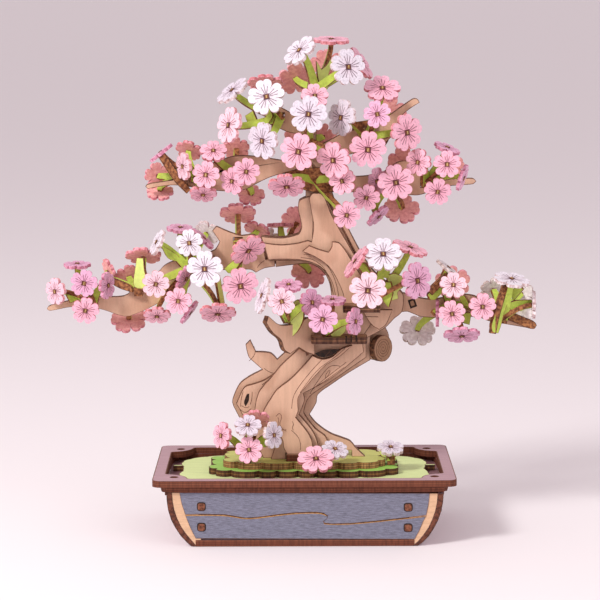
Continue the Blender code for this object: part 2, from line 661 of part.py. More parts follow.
def branches(collection, woods):
    """The branch boards, each on the layer that it is glued to."""
    layout = (
        ("left_branch", LEFT_BRANCH, 0), ("far_left_branch", FAR_LEFT_BRANCH, -1),
        ("upper_left_branch", UPPER_LEFT_BRANCH, -1), ("crown_left_branch", CROWN_LEFT_BRANCH, -1),
        ("upper_right_branch", UPPER_RIGHT_BRANCH, -1), ("right_branch", RIGHT_BRANCH, 1),
        ("right_middle_branch", RIGHT_MIDDLE_BRANCH, 0), ("far_right_branch", FAR_RIGHT_BRANCH, -1),
    )
    boards = {}
    for name, points, layer in layout:
        depth = layer * PLY
        outline = rounded([Vector(point) for point in picture_outline(points, depth)])
        boards[name] = finish(
            flat_board(name, [outline], PLY, upright(depth)), woods["tan"], collection
        )
    return boards


def platforms(collection, woods):
    """Two small shelves in front of the trunk, the brackets under them, and the knot."""
    low = flat_board("low_platform", [LOW_PLATFORM], PLY, lying(LOW_PLATFORM_TOP - PLY / 2))
    finish(low, woods["brown"], collection)
    right = flat_board("right_platform", [RIGHT_PLATFORM], PLY, lying(RIGHT_PLATFORM_TOP - PLY / 2))
    finish(right, woods["brown"], collection)
    depth = -PLY * 3 - FIT_GAP
    underside = RIGHT_PLATFORM_TOP - PLY
    pendant = picture_outline(POINTED_BRACKET, depth)
    pendant[0] = (pendant[0][0], underside)
    pendant[-1] = (pendant[-1][0], underside)
    bracket = flat_board("pointed_bracket", [pendant], PLY, upright(depth))
    finish(bracket, woods["tan"], collection)
    left_bracket(collection, woods)
    knot(collection, woods)


def standing(place, turn):
    """Stands a flat outline up at this place, turned about the vertical."""
    return Matrix.Translation(place) @ Matrix.Rotation(turn, 4, "Z") @ upright(0)


def left_bracket(collection, woods):
    """An upright curved board that runs from the trunk towards the front left."""
    place = standing(LEFT_BRACKET_START, LEFT_BRACKET_TURN)
    finish(flat_board("left_bracket", [LEFT_BRACKET], PLY, place), woods["tan"], collection)


def knot(collection, woods):
    """The sawn end of a cut branch: a disc on the trunk's right side."""
    centre = seen(KNOT_PLACE[0], KNOT_PLACE[1], 0.0) + Vector((KNOT_OFFSET, 0, 0))
    disc = flat_board("knot_disc", [ring((0, 0), KNOT_RADIUS, 14)], PLY, standing(centre, KNOT_TURN))
    finish(disc, woods["pale"], collection)


def petal_outline(radius):
    """Five petals as a ten-point star."""
    points = []
    for i in range(10):
        reach = radius if i % 2 == 0 else radius * VALLEY
        angle = math.pi / 2 + i * math.pi / 5
        points.append((reach * math.cos(angle), reach * math.sin(angle)))
    return points


def facing(yaw, tilt):
    """A unit direction: yaw runs from the viewer to the right, tilt upwards, in degrees."""
    turn = math.radians(yaw)
    lift = math.radians(tilt)
    return Vector((math.cos(lift) * math.sin(turn), -math.cos(lift) * math.cos(turn), math.sin(lift)))


def bar(name, start, end, width, collection):
    """A square bar between two points."""
    run = end - start
    mesh = bpy.data.meshes.new(name)
    solid = bmesh.new()
    bmesh.ops.create_cube(solid, size=1)
    bmesh.ops.scale(solid, vec=(width, width, run.length), verts=solid.verts)
    bmesh.ops.transform(solid, matrix=run.to_track_quat("Z", "Y").to_matrix().to_4x4(), verts=solid.verts)
    bmesh.ops.translate(solid, vec=(start + end) / 2, verts=solid.verts)
    solid.to_mesh(mesh)
    solid.free()
    made = bpy.data.objects.new(name, mesh)
    collection.objects.link(made)
    return made


def foot_box(name, hub, host_depth):
    """The corners of a twig's foot, which passes through its branch or stands on a board."""
    if name in FOOT_DEPTHS:
        near, far = (value / 1000 for value in FOOT_DEPTHS[name])
    else:
        near = host_depth - PLY / 2 - PEG_REACH
        far = host_depth + PLY / 2 + PEG_REACH
    middle = seen(hub[0], hub[1], (near + far) / 2)
    low = Vector((middle.x - PEG / 2, near, middle.z - PEG / 2))
    high = Vector((middle.x + PEG / 2, far, middle.z + PEG / 2))
    if name in FOOT_LEVELS:
        low.z = FOOT_LEVELS[name]
        high.z = low.z + FOOT_TALL
    return low, high


def cut_slot(board, name, low, high, cutters):
    """A slot in the board for the twig's foot, with a gap all round."""
    gap = Vector((FIT_GAP, 0, FIT_GAP))
    cutter = box("slot_" + name, low - gap, high + gap, cutters)
    boolean(board, helper(cutter), "DIFFERENCE")


def sprig(name, spec, depths, boards, collection, cutters, material):
    """A twig and its flowers as one solid: a foot, an arm to each flower, and the flowers."""
    host, hub, flowers = spec
    low, high = foot_box(name, hub, depths.get(host, 0.0))
    foot = box(name + "_sprig", low, high, collection)
    foot.data.materials.append(material)
    if host:
        cut_slot(boards[host], name, low, high, cutters)
    middle = (low + high) / 2
    for i, (column, row, depth, yaw, tilt, radius) in enumerate(flowers):
        centre = seen(column, row, depth / 1000)
        normal = facing(yaw, tilt)
        start = middle.copy()
        start.y = low.y + PEG / 3 if centre.y < middle.y else high.y - PEG / 3
        label = name + "_" + str(i)
        arm = bar(label + "_arm", start, centre - normal * ARM_SINK, TWIG, cutters)
        boolean(foot, helper(arm), "UNION")
        turned = Matrix.Translation(centre) @ normal.to_track_quat("Z", "Y").to_matrix().to_4x4()
        petals = flat_board(label + "_petals", [petal_outline(radius)], FLOWER_PLY, turned)
        cutters.objects.link(petals)
        boolean(foot, helper(petals), "UNION")
    return foot


def build():
    clear_scene()
    parts = new_collection("cherry_blossom_bonsai")
    cutters = new_collection("cutters")
    woods = {
        "plum": painted_wood("plum_board", PLUM),
        "slate": painted_wood("slate_board", SLATE),
        "pale": painted_wood("pale_board", PALE_WOOD),
        "tan": painted_wood("trunk_board", TRUNK_TAN),
        "brown": painted_wood("burnt_board", TRUNK_BROWN),
        "soil": painted_wood("soil_paint", SOIL_GREEN),
        "moss": painted_wood("moss_paint", MOSS_GREEN),
        "olive": painted_wood("olive_paint", MOSS_OLIVE),
        "petal": painted_wood("petal_paint", PETAL_PINK),
    }
    tray_rims(parts, woods)
    tray_body(parts, woods)
    ground(parts, woods)
    boards = trunk(parts, woods)
    boards.update(branches(parts, woods))
    platforms(parts, woods)
    depths = {name: board.matrix_world.translation.y for name, board in boards.items()}
    for name, spec in SPRIGS.items():
        sprig(name, spec, depths, boards, parts, cutters, woods["petal"])


build()
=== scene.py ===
# %% [markdown]
# # A cherry blossom bonsai in laser-cut plywood
# The real object is a display model: flat boards cut by a laser, slotted and glued together in a
# plywood tray. Almost every shape is a flat outline with a thickness, a burnt edge and a printed or
# bare face. So this lesson takes the fixed boards one by one, gives each a softened outline and its
# own finish, and then makes the flowers and twigs, which are too small and many for the frame.

# %% Load the frame
import bisect
import math
import random

import bmesh
import bpy
from mathutils import Matrix, Vector


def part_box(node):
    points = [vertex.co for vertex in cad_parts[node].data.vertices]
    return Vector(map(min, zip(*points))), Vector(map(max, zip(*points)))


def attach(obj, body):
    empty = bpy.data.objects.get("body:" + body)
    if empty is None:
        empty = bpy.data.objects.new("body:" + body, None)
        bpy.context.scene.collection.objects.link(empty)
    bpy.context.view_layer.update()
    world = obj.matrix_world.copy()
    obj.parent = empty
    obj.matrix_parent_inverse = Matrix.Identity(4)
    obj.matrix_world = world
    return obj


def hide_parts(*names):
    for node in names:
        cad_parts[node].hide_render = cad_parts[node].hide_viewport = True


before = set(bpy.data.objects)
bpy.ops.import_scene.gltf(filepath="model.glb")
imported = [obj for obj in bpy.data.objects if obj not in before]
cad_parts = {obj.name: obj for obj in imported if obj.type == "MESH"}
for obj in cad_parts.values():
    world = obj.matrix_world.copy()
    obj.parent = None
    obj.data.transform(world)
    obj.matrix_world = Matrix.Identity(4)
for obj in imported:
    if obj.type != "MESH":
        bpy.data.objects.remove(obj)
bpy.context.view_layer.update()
MM = 0.001
PLY = 3 * MM
print("boards in the frame:", len(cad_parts))

# %% [markdown]
# ## Where a picture point lies
# The outlines were read off a front view. `place` turns a column and a row of that view into a real
# place on an upright plane, the same way for every piece, so that twigs meet their branches.

# %% From the front view to real places
DRAWN_FROM = Vector((-0.0018, -1.162, 0.268))
DRAWN_FOCAL = 2486.0
MIDDLE_COLUMN = 300
LEVEL_ROW = -44.4
CLIMB = 0.0063


def place(column, row, depth):
    """The real place of a point of the front view, on the upright plane at this depth."""
    scale = (depth - DRAWN_FROM.y) / DRAWN_FOCAL
    level = row + (column - MIDDLE_COLUMN) * CLIMB - LEVEL_ROW
    x = DRAWN_FROM.x + (column - MIDDLE_COLUMN) * scale
    return Vector((x, depth, DRAWN_FROM.z - level * scale))


# %% [markdown]
# ## The camera
# A long lens a little over a metre away, looking down by seven and a half degrees. `place` belongs
# to a level view with a shifted lens. This camera has no shift: its numbers were fitted so that 49
# points in and round the object land where that view puts them, within 1.4 picture points on
# average (root mean square) and 4.7 at worst.

# %% Camera
EYE = Vector((-0.00346, -1.07787, 0.25019))
DOWN = 0.131342
TURN = 0.0016198
ROLL = 0.0030475
FOCAL = 2339.07
PICTURE_WIDTH = 600
SENSOR = 36


def camera_axes():
    ahead = Vector((math.sin(TURN) * math.cos(DOWN), math.cos(TURN) * math.cos(DOWN), -math.sin(DOWN)))
    right = Vector((math.cos(TURN), -math.sin(TURN), 0))
    up = right.cross(ahead)
    across = right * math.cos(ROLL) - up * math.sin(ROLL)
    upward = right * math.sin(ROLL) + up * math.cos(ROLL)
    return across, upward, -ahead


lens = bpy.data.cameras.new("front_camera")
lens.sensor_width = SENSOR
lens.lens = FOCAL / PICTURE_WIDTH * SENSOR
camera = bpy.data.objects.new("front_camera", lens)
bpy.context.scene.collection.objects.link(camera)
camera.matrix_world = Matrix.Translation(EYE) @ Matrix(camera_axes()).transposed().to_4x4()
bpy.context.scene.camera = camera
print("lens", round(lens.lens, 1), "mm")

# %% [markdown]
# ## Floor and light
# A plain pale floor, a key light from the upper left, a weak fill from the right and a pale pink
# sky, as a product photographer would set up for a small pale object.

# %% Floor and light
FLOOR_COLOUR = (0.86, 0.83, 0.85, 1)
SKY_COLOUR = (0.98, 0.86, 0.89, 1)
SKY_STRENGTH = 0.75
FLOOR_SIZE = 300
FLOOR_LEVEL = -0.0001


def area_light(name, where, aim, size, watts, colour):
    data = bpy.data.lights.new(name, "AREA")
    data.size = size
    data.energy = watts
    data.color = colour
    lamp = bpy.data.objects.new(name, data)
    bpy.context.scene.collection.objects.link(lamp)
    lamp.location = where
    lamp.rotation_euler = (Vector(aim) - Vector(where)).to_track_quat("-Z", "Y").to_euler()
    return lamp


bpy.ops.object.select_all(action="DESELECT")
bpy.ops.mesh.primitive_plane_add(size=FLOOR_SIZE, location=(0, 0, FLOOR_LEVEL))
floor = bpy.context.object
floor.name = "floor"
floor_paint = bpy.data.materials.new("floor_paint")
floor_paint.use_nodes = True
floor_inputs = floor_paint.node_tree.nodes["Principled BSDF"].inputs
floor_inputs["Base Color"].default_value = FLOOR_COLOUR
floor_inputs["Roughness"].default_value = 0.9
floor.data.materials.append(floor_paint)
sky = bpy.data.worlds.new("studio")
sky.use_nodes = True
sky_inputs = sky.node_tree.nodes["Background"].inputs
sky_inputs["Color"].default_value = SKY_COLOUR
sky_inputs["Strength"].default_value = SKY_STRENGTH
bpy.context.scene.world = sky
bpy.context.scene.view_settings.view_transform = "Standard"
area_light("key", (-0.75, -0.80, 0.95), (0, 0, 0.10), 0.30, 14, (1.0, 0.97, 0.94))
area_light("fill", (0.9, -1.0, 0.5), (0, 0, 0.12), 0.9, 3.5, (1.0, 0.95, 0.97))
print("floor and two lights")

# %% [markdown]
# ## Materials: the printed or bare face
# Plywood's face shows fine fibres along one direction, with pores as short dark dashes. One helper
# makes it from two noises stretched along the grain, so a face differs only in colour, direction and
# how strong the grain shows through the paint. Beyond that, the tan trunk face and the green twig
# face get patches of painted shadow, for the shadows that flowers and branches cast on them.

# %% Board faces
def new_material(name, roughness):
    material = bpy.data.materials.new(name)
    material.use_nodes = True
    shader = material.node_tree.nodes["Principled BSDF"]
    shader.inputs["Roughness"].default_value = roughness
    shader.inputs["Specular IOR Level"].default_value = 0.3
    return material, material.node_tree.nodes, material.node_tree.links, shader


def stretched_noise(nodes, links, stretch, scale, detail):
    """Noise on the piece's own coordinates, drawn out along the axes that stretch makes small."""
    coordinates = nodes.new("ShaderNodeTexCoord")
    mapping = nodes.new("ShaderNodeMapping")
    mapping.inputs["Scale"].default_value = stretch
    noise = nodes.new("ShaderNodeTexNoise")
    noise.inputs["Scale"].default_value = scale
    noise.inputs["Detail"].default_value = detail
    links.new(coordinates.outputs["Object"], mapping.inputs["Vector"])
    links.new(mapping.outputs["Vector"], noise.inputs["Vector"])
    return noise.outputs["Fac"]


def ramp(nodes, links, value, stops):
    node = nodes.new("ShaderNodeValToRGB")
    while len(node.color_ramp.elements) < len(stops):
        node.color_ramp.elements.new(0.5)
    for element, (at, colour) in zip(node.color_ramp.elements, stops):
        element.position = at
        element.color = (*colour, 1)
    links.new(value, node.inputs["Fac"])
    return node.outputs["Color"]


def mix(nodes, links, kind, amount, first, second):
    node = nodes.new("ShaderNodeMix")
    node.data_type = "RGBA"
    node.blend_type = kind
    node.inputs["Factor"].default_value = amount
    links.new(first, node.inputs[6])
    links.new(second, node.inputs[7])
    return node.outputs[2]


def bump(nodes, links, shader, height, distance):
    node = nodes.new("ShaderNodeBump")
    node.inputs["Distance"].default_value = distance
    node.inputs["Strength"].default_value = 0.6
    links.new(height, node.inputs["Height"])
    links.new(node.outputs["Normal"], shader.inputs["Normal"])


def face(name, colour, depth_of_grain, stretch, roughness=0.62, shadow_patches=0.0):
    """A board's face: its colour, darkened along the grain and, when asked, in patches of painted shadow.
    """
    material, nodes, links, shader = new_material(name, roughness)
    low = tuple(c * (1 - depth_of_grain) for c in colour)
    high = tuple(min(1, c * (1 + depth_of_grain * 0.5)) for c in colour)
    broad = ramp(nodes, links, stretched_noise(nodes, links, stretch, 90, 5), ((0.3, low), (0.7, high)))
    pores = stretched_noise(nodes, links, tuple(s * 3 for s in stretch), 300, 3)
    dashes = ramp(nodes, links, pores, ((0.34, (0.62, 0.58, 0.56)), (0.46, (1, 1, 1))))
    colour_out = mix(nodes, links, "MULTIPLY", min(1, depth_of_grain * 3), broad, dashes)
    # Patches of painted shadow: dark blotches with fairly sharp edges, for the shadows that flowers and
    # branches cast on the board.
    if shadow_patches:
        patches = stretched_noise(nodes, links, (1, 1, 0.7), 55, 1.5)
        painted_shadow = ramp(nodes, links, patches, ((0.53, (1, 1, 1)), (0.60, (0.74, 0.66, 0.62))))
        colour_out = mix(nodes, links, "MULTIPLY", shadow_patches * 2, colour_out, painted_shadow)
    links.new(colour_out, shader.inputs["Base Color"])
    bump(nodes, links, shader, pores, 0.00008)
    return material


ALONG_X = (1, 9, 9)
ALONG_Z = (9, 9, 1)
faces = {
    # The tan trunk face gets patches of painted shadow.
    "tan": face("tan_face", (0.63, 0.40, 0.28), 0.08, ALONG_Z, shadow_patches=0.30),
    "pale": face("pale_face", (0.70, 0.45, 0.28), 0.14, ALONG_X),
    "plum": face("plum_face", (0.46, 0.30, 0.335), 0.14, ALONG_X),
    "wine": face("wine_face", (0.27, 0.135, 0.155), 0.25, ALONG_X),
    "slate": face("slate_face", (0.20, 0.205, 0.275), 0.36, (4, 24, 24)),
    "soil": face("soil_face", (0.68, 0.80, 0.37), 0.10, ALONG_X),
    "moss": face("moss_face", (0.34, 0.62, 0.12), 0.14, ALONG_X),
    "olive": face("olive_face", (0.58, 0.60, 0.17), 0.16, ALONG_X),
    "brown": face("brown_face", (0.34, 0.19, 0.11), 0.18, ALONG_X),
}
print("faces:", ", ".join(faces))

# %% [markdown]
# ## Materials: the burnt edge
# A laser leaves the cut edge charred, most in the glue lines and least in the middle ply. The edge
# material finds where it is in the board's thickness and picks that ply's tone, then breaks it up
# with streaks that run across the thickness, as the beam's ripples do.

# %% Burnt edges
def edge(name, axis, offset, outer, core, glue=(0.035, 0.018, 0.012), ripple=0.85):
    """A cut edge. axis is the one across the board's thickness, and offset where a board starts."""
    material, nodes, links, shader = new_material(name, 0.7)
    coordinates = nodes.new("ShaderNodeTexCoord")
    split = nodes.new("ShaderNodeSeparateXYZ")
    links.new(coordinates.outputs["Object"], split.inputs["Vector"])
    shift = nodes.new("ShaderNodeMath")
    shift.operation = "MULTIPLY_ADD"
    shift.inputs[1].default_value = 1 / PLY
    shift.inputs[2].default_value = -offset / PLY
    links.new(split.outputs[axis], shift.inputs[0])
    part = nodes.new("ShaderNodeMath")
    part.operation = "FRACT"
    links.new(shift.outputs[0], part.inputs[0])
    plies = ramp(nodes, links, part.outputs[0], (
        (0.0, glue), (0.06, outer), (0.30, outer), (0.36, glue), (0.41, core), (0.60, core),
        (0.65, glue), (0.71, outer), (0.94, outer), (1.0, glue),
    ))
    stretch = [7.0, 7.0, 7.0]
    stretch["XYZ".index(axis)] = 0.8
    streaks = stretched_noise(nodes, links, stretch, 160, 4)
    tone = ramp(nodes, links, streaks, ((0.36, (0.30, 0.25, 0.22)), (0.58, (1, 1, 1))))
    links.new(mix(nodes, links, "MULTIPLY", ripple, plies, tone), shader.inputs["Base Color"])
    bump(nodes, links, shader, streaks, 0.00010)
    return material


def plain_edge(name, dark, light):
    """The edge of a thin or slanting board, charred unevenly."""
    material, nodes, links, shader = new_material(name, 0.7)
    streaks = stretched_noise(nodes, links, (6, 6, 6), 120, 4)
    links.new(ramp(nodes, links, streaks, ((0.40, dark), (0.62, light))), shader.inputs["Base Color"])
    bump(nodes, links, shader, streaks, 0.00008)
    return material


REDDISH = (0.165, 0.046, 0.022)
edges = {
    "upright": edge("upright_edge", "Y", -1.5 * MM, (0.17, 0.070, 0.036), (0.33, 0.16, 0.085)),
    "lying": edge("lying_edge", "Z", 1 * MM, REDDISH, (0.20, 0.062, 0.030), (0.07, 0.022, 0.014), 0.5),
    "moss": edge("moss_edge", "Z", 1 * MM, (0.11, 0.040, 0.016), (0.24, 0.11, 0.036), ripple=1.0),
    "olive": edge("olive_edge", "Z", 1 * MM, (0.38, 0.19, 0.070), (0.50, 0.28, 0.11)),
    # The shelves' edges are darker copies of the upright edge: painted shade, for the shadow the shelves
    # sit in.
    "low_shelf": edge("low_shelf_edge", "Z", 0, (0.12, 0.05, 0.03), (0.26, 0.12, 0.06)),
    "high_shelf": edge("high_shelf_edge", "Z", 2.5 * MM, (0.12, 0.05, 0.03), (0.26, 0.12, 0.06)),
    "slanting": plain_edge("slanting_edge", (0.07, 0.03, 0.018), (0.24, 0.11, 0.055)),
    "dark": plain_edge("dark_edge", (0.07, 0.022, 0.013), (0.17, 0.055, 0.030)),
    # Near black: charred lines, and the dark insets that paint the shade inside uncut openings.
    "char": plain_edge("char_and_shade_edge", (0.012, 0.006, 0.004), (0.04, 0.018, 0.012)),
    # A painted highlight: the lit lower lip of the front panels' seam.
    "gold": plain_edge("lit_lip_highlight", (0.42, 0.20, 0.06), (0.62, 0.33, 0.11)),
}
# Burnt lines round faces and in engraving. The pieces named shadow also use it, as painted shadow.
burn_and_shadow_line = plain_edge("burn_and_shadow_line", (0.10, 0.042, 0.025), (0.22, 0.10, 0.06))
DARK = (edges["char"],) * 3
print("edges:", ", ".join(edges))

# %% [markdown]
# ## The flat boards
# Each board of the frame has the right place and size, but its outline is drawn with straight
# steps. A board gets three things here: its gentle corners are cut back to a smooth curve with a
# percentage bevel, its two faces are inset by a hair to hold the burnt line beside the cut, and its
# faces, edge and line get their own finishes. The copy stands for the frame's board.

# %% From a frame board to a finished board
WELD = 0.00001
PARALLEL = 0.99
SMOOTH_ANGLE = math.radians(28)
ROUNDING = {"offset_type": "PERCENT", "offset_pct": 27, "segments": 2, "affect": "EDGES"}


def activate(obj):
    bpy.ops.object.select_all(action="DESELECT")
    obj.select_set(True)
    bpy.context.view_layer.objects.active = obj


def edit_all():
    """Opens the active mesh with everything selected."""
    bpy.ops.object.mode_set(mode="EDIT")
    bpy.ops.mesh.select_all(action="SELECT")


def clean_copy(node, name):
    board = bpy.data.objects.new(name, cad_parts[node].data.copy())
    bpy.context.scene.collection.objects.link(board)
    activate(board)
    board.data.materials.clear()
    edit_all()
    bpy.ops.mesh.remove_doubles(threshold=WELD)
    bpy.ops.mesh.dissolve_limited(angle_limit=math.radians(0.6))
    bpy.ops.mesh.customdata_custom_splitnormals_clear()
    return board


def select_outline_corners(board, axis, sharpest):
    """The edges across the thickness at the outline's gentle corners."""
    bpy.ops.mesh.select_all(action="DESELECT")
    bpy.ops.mesh.select_mode(type="EDGE")
    mesh = bmesh.from_edit_mesh(board.data)
    count = 0
    for line in mesh.edges:
        along = (line.verts[0].co - line.verts[1].co).normalized()
        if abs(along.dot(axis)) > PARALLEL and len(line.link_faces) == 2:
            bend = math.degrees(line.calc_face_angle(0))
            line.select_set(1 < bend < sharpest)
            count += line.select
    bmesh.update_edit_mesh(board.data)
    return count


def select_faces(board, axis):
    bpy.ops.mesh.select_all(action="DESELECT")
    bpy.ops.mesh.select_mode(type="FACE")
    mesh = bmesh.from_edit_mesh(board.data)
    for flat in mesh.faces:
        flat.select_set(abs(flat.normal.dot(axis)) > PARALLEL)
    bmesh.update_edit_mesh(board.data)


def colour_board(board, axis, looks):
    """Material 0 on the inner faces, 1 on the cut edge and 2 on the burnt line round each face."""
    mesh = bmesh.from_edit_mesh(board.data)
    for flat in mesh.faces:
        broad_side = abs(flat.normal.dot(axis)) > PARALLEL
        flat.material_index = (0 if flat.select else 2) if broad_side else 1
        flat.smooth = not broad_side
    bmesh.update_edit_mesh(board.data)
    bpy.ops.object.mode_set(mode="OBJECT")
    for look in looks:
        board.data.materials.append(look)


def cut_board(node, axis, looks, line=0.30 * MM, sharpest=52):
    axis = Vector(axis).normalized()
    board = clean_copy(node, node + "_cut")
    if select_outline_corners(board, axis, sharpest):
        bpy.ops.mesh.bevel(**ROUNDING)
    select_faces(board, axis)
    bpy.ops.mesh.inset(thickness=line, use_boundary=True, use_even_offset=False)
    colour_board(board, axis, looks)
    bpy.ops.object.shade_smooth_by_angle(angle=SMOOTH_ANGLE)
    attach(board, "root")
    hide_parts(node)
    return board


UP = (0, 0, 1)
FRONT = (0, 1, 0)


def looks(surface, rim):
    return (faces[surface], edges[rim], burn_and_shadow_line)


# %% [markdown]
# ## Boards modelled afresh
# Where the finished outline differs from the frame's simpler one, the board is made anew. A disc
# gets its corners moved to points of the front view, is extruded to its thickness, and can be
# turned about the upright. Blocks and posts serve the square and round pieces.

# %% New boards
def block(name, size, middle):
    bpy.ops.object.select_all(action="DESELECT")
    bpy.ops.mesh.primitive_cube_add(size=1, location=middle)
    made = bpy.context.object
    made.name = name
    made.scale = size
    bpy.ops.object.transform_apply(location=True, rotation=True, scale=True)
    return made


def post(name, radius, tall, middle, sides=48):
    bpy.ops.object.select_all(action="DESELECT")
    bpy.ops.mesh.primitive_cylinder_add(vertices=sides, radius=radius, depth=tall, location=middle)
    made = bpy.context.object
    made.name = name
    bpy.ops.object.transform_apply(location=True, rotation=True, scale=True)
    return made


def cut(target, tool):
    modifier = target.modifiers.new("cut", "BOOLEAN")
    modifier.operation = "DIFFERENCE"
    modifier.object = tool
    bpy.context.view_layer.objects.active = target
    bpy.ops.object.modifier_apply(modifier="cut")
    bpy.data.objects.remove(tool, do_unlink=True)


def round_uprights(obj, radius, segments):
    """Rounds the vertical corners of a block."""
    activate(obj)
    bpy.ops.object.mode_set(mode="EDIT")
    bpy.ops.mesh.select_mode(type="EDGE")
    bpy.ops.mesh.select_all(action="DESELECT")
    mesh = bmesh.from_edit_mesh(obj.data)
    for line in mesh.edges:
        run = line.verts[0].co - line.verts[1].co
        sharp = len(line.link_faces) == 2 and line.calc_face_angle(0) > math.radians(50)
        line.select_set(abs(run.z) > 0.9 * run.length and sharp)
    bmesh.update_edit_mesh(obj.data)
    bpy.ops.mesh.bevel(offset=radius, segments=segments, affect="EDGES")
    bpy.ops.object.mode_set(mode="OBJECT")


def finish_board(obj, axis, board_looks, replaced, line=0.25 * MM):
    """Insets both faces of a new board, colours it and puts it in the place of a frame board."""
    activate(obj)
    edit_all()
    bpy.ops.mesh.remove_doubles(threshold=WELD)
    bpy.ops.mesh.dissolve_limited(angle_limit=math.radians(0.3))
    bpy.ops.mesh.normals_make_consistent(inside=False)
    select_faces(obj, Vector(axis))
    bpy.ops.mesh.inset(thickness=line, use_boundary=True, use_even_offset=False)
    obj.data.materials.clear()
    colour_board(obj, Vector(axis), board_looks)
    bpy.ops.object.shade_smooth_by_angle(angle=SMOOTH_ANGLE)
    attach(obj, "root")
    if replaced:
        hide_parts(replaced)
    return obj


def extruded(name, corners, rise):
    """A disc with its corners moved to these places, extruded by the vector rise."""
    bpy.ops.object.select_all(action="DESELECT")
    bpy.ops.mesh.primitive_circle_add(vertices=len(corners), radius=1, fill_type="NGON")
    made = bpy.context.object
    made.name = name
    for corner, spot in zip(made.data.vertices, corners):
        corner.co = spot
    edit_all()
    bpy.ops.mesh.extrude_region_move(TRANSFORM_OT_translate={"value": rise})
    bpy.ops.object.mode_set(mode="OBJECT")
    return made


def upright_board(name, points, depth, thick, turn, board_looks, replaced=None, slide=0, soft=75):
    """A board whose outline is a list of picture points, turned about its own upright middle.

    depth and thick are in millimetres, slide moves the finished board back, and soft is the
    sharpest corner in degrees that still gets rounded.
    """
    spots = [place(column, row, depth * MM) for column, row in points]
    middle = sum(spots, Vector()) / len(spots)
    board = extruded(name, [spot - middle for spot in spots], (0, thick * MM, 0))
    turned = Matrix.Rotation(math.radians(turn), 4, "Z")
    board.data.transform(Matrix.Translation(middle + Vector((0, slide * MM, 0))) @ turned)
    board.data.update()
    axis = turned @ Vector(FRONT)
    edit_all()
    bpy.ops.mesh.normals_make_consistent(inside=False)
    if select_outline_corners(board, axis, soft):
        bpy.ops.mesh.bevel(**ROUNDING)
    bpy.ops.object.mode_set(mode="OBJECT")
    return finish_board(board, axis, board_looks, replaced, line=0.18 * MM)


# %% Trunk, branch and shelf boards
TRUNK_BOARDS = [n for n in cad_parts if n.startswith("trunk_") and not n.endswith("sprig")]
BRANCH_BOARDS = [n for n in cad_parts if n.endswith("_branch")]
BRANCH_BOARDS.remove("far_left_branch")
for name in TRUNK_BOARDS + BRANCH_BOARDS:
    cut_board(name, FRONT, looks("tan", "upright"))
FAR_LEFT = (
    (216, 255), (195.3, 256.7), (174.9, 259.3), (165.5, 264), (159.4, 271.2), (146.1, 280.4),
    (135.9, 285.5), (126.7, 295.7), (95.1, 295.7), (73.7, 298.8), (50.2, 304.8), (48.4, 308),
    (51, 310.4), (73.7, 305.4), (100.2, 307), (126.7, 316.6), (142, 311), (160, 302), (180, 286),
    (200, 275), (216, 269),
)
upright_board("far_left_cut", FAR_LEFT, -4.5, 3, 0, looks("tan", "upright"),
              "far_left_branch")
cut_board("pointed_bracket", FRONT, looks("tan", "slanting"))
cut_board("left_bracket", (-0.602, 0.799, 0), looks("tan", "slanting"))


def lying_block(name, low, high, rim, replaced, radius=0.0):
    """A block between two corners in millimetres, its upright corners rounded if it has a radius."""
    size = [(b - a) * MM for a, b in zip(low, high)]
    made = block(name, size, [(a + b) / 2 * MM for a, b in zip(low, high)])
    if radius:
        round_uprights(made, radius * MM, 4)
    return finish_board(made, UP, looks("brown", rim), replaced)


# The shelves get the dark brown face and their darker edges as painted shade: they sit in the shadow of
# the boards and flowers above.
lying_block("low_shelf", (3.3, -20, 90), (29, -7.8, 93), "low_shelf", "low_platform", 2.5)
lying_block("high_shelf", (18, -20, 104.5), (34.9, -7.8, 107.5), "high_shelf", "right_platform")
lying_block("root_block", (-8.3, -13, 34), (8.4, 13, 37), "lying", "root_board")
KNOT_BACK = (
    (362, 333), (372, 322), (384.5, 324), (389, 333), (388.5, 343), (384, 352), (377, 359), (366, 357),
)
upright_board("knot_back", KNOT_BACK, 5.6, 2.6, 0, looks("tan", "upright"))
print(len(TRUNK_BOARDS), "trunk boards and", len(BRANCH_BOARDS), "branch boards")

# %% [markdown]
# ## The tray's walls
# The ends are curved boards, dark outside, with a bare tan frame board inside each. The two front
# panels meet along one wavy cut that hooks back on itself, so the outline of the seam is shared by
# both. The seam's lower lip, lit from above, is a painted highlight: a thin golden line laid on it.

# %% Tray walls
LEFT_OUTER = [
    (165.3, 494), (165.8, 503), (167, 512), (170, 522),
    (174, 530), (179.5, 538.5), (185.5, 545), (190, 549),
]
LEFT_INNER = [
    (171, 494), (171.4, 503), (173, 512), (176, 521),
    (180, 529.5), (185.5, 537.5), (191, 544), (195, 549),
]
LEFT_PANEL = [(178.6, 494), (180.5, 505), (183, 513), (184.2, 516.4), (186, 522), (190, 532), (194.5, 541)]
RIGHT_OUTER = [
    (443.6, 494), (443, 503), (441.4, 512), (438, 522),
    (434, 530), (428.5, 538.5), (422, 545), (418, 547.7),
]
RIGHT_INNER = [
    (437.8, 494), (437.2, 503), (435.5, 512), (432.4, 521),
    (428.5, 529.5), (423, 537.5), (418, 543.5), (413, 547.7),
]
RIGHT_PANEL = [
    (429.6, 494), (428.6, 505), (427, 513), (426.3, 516.4), (423.5, 522), (419.5, 532), (414.8, 541),
]
SEAM = [
    (200, 516.1), (224, 516.4), (233, 517.8), (244, 519.8), (256, 519.2), (275, 516.4),
    (295, 514.1), (316, 513.5), (323, 514.6), (327.3, 517.4), (326.2, 520.4), (323, 522.3),
    (323.6, 524.6), (331, 525.5), (350, 525), (375, 522.6), (400, 519.7),
]
LOW_END = [(200, 549), (200, 520), (184, 494)]
HIGH_END = [(408, 547.7), (408, 520), (425, 494)]
WALL_LOOKS = (edges["dark"], faces["plum"], edges["char"])
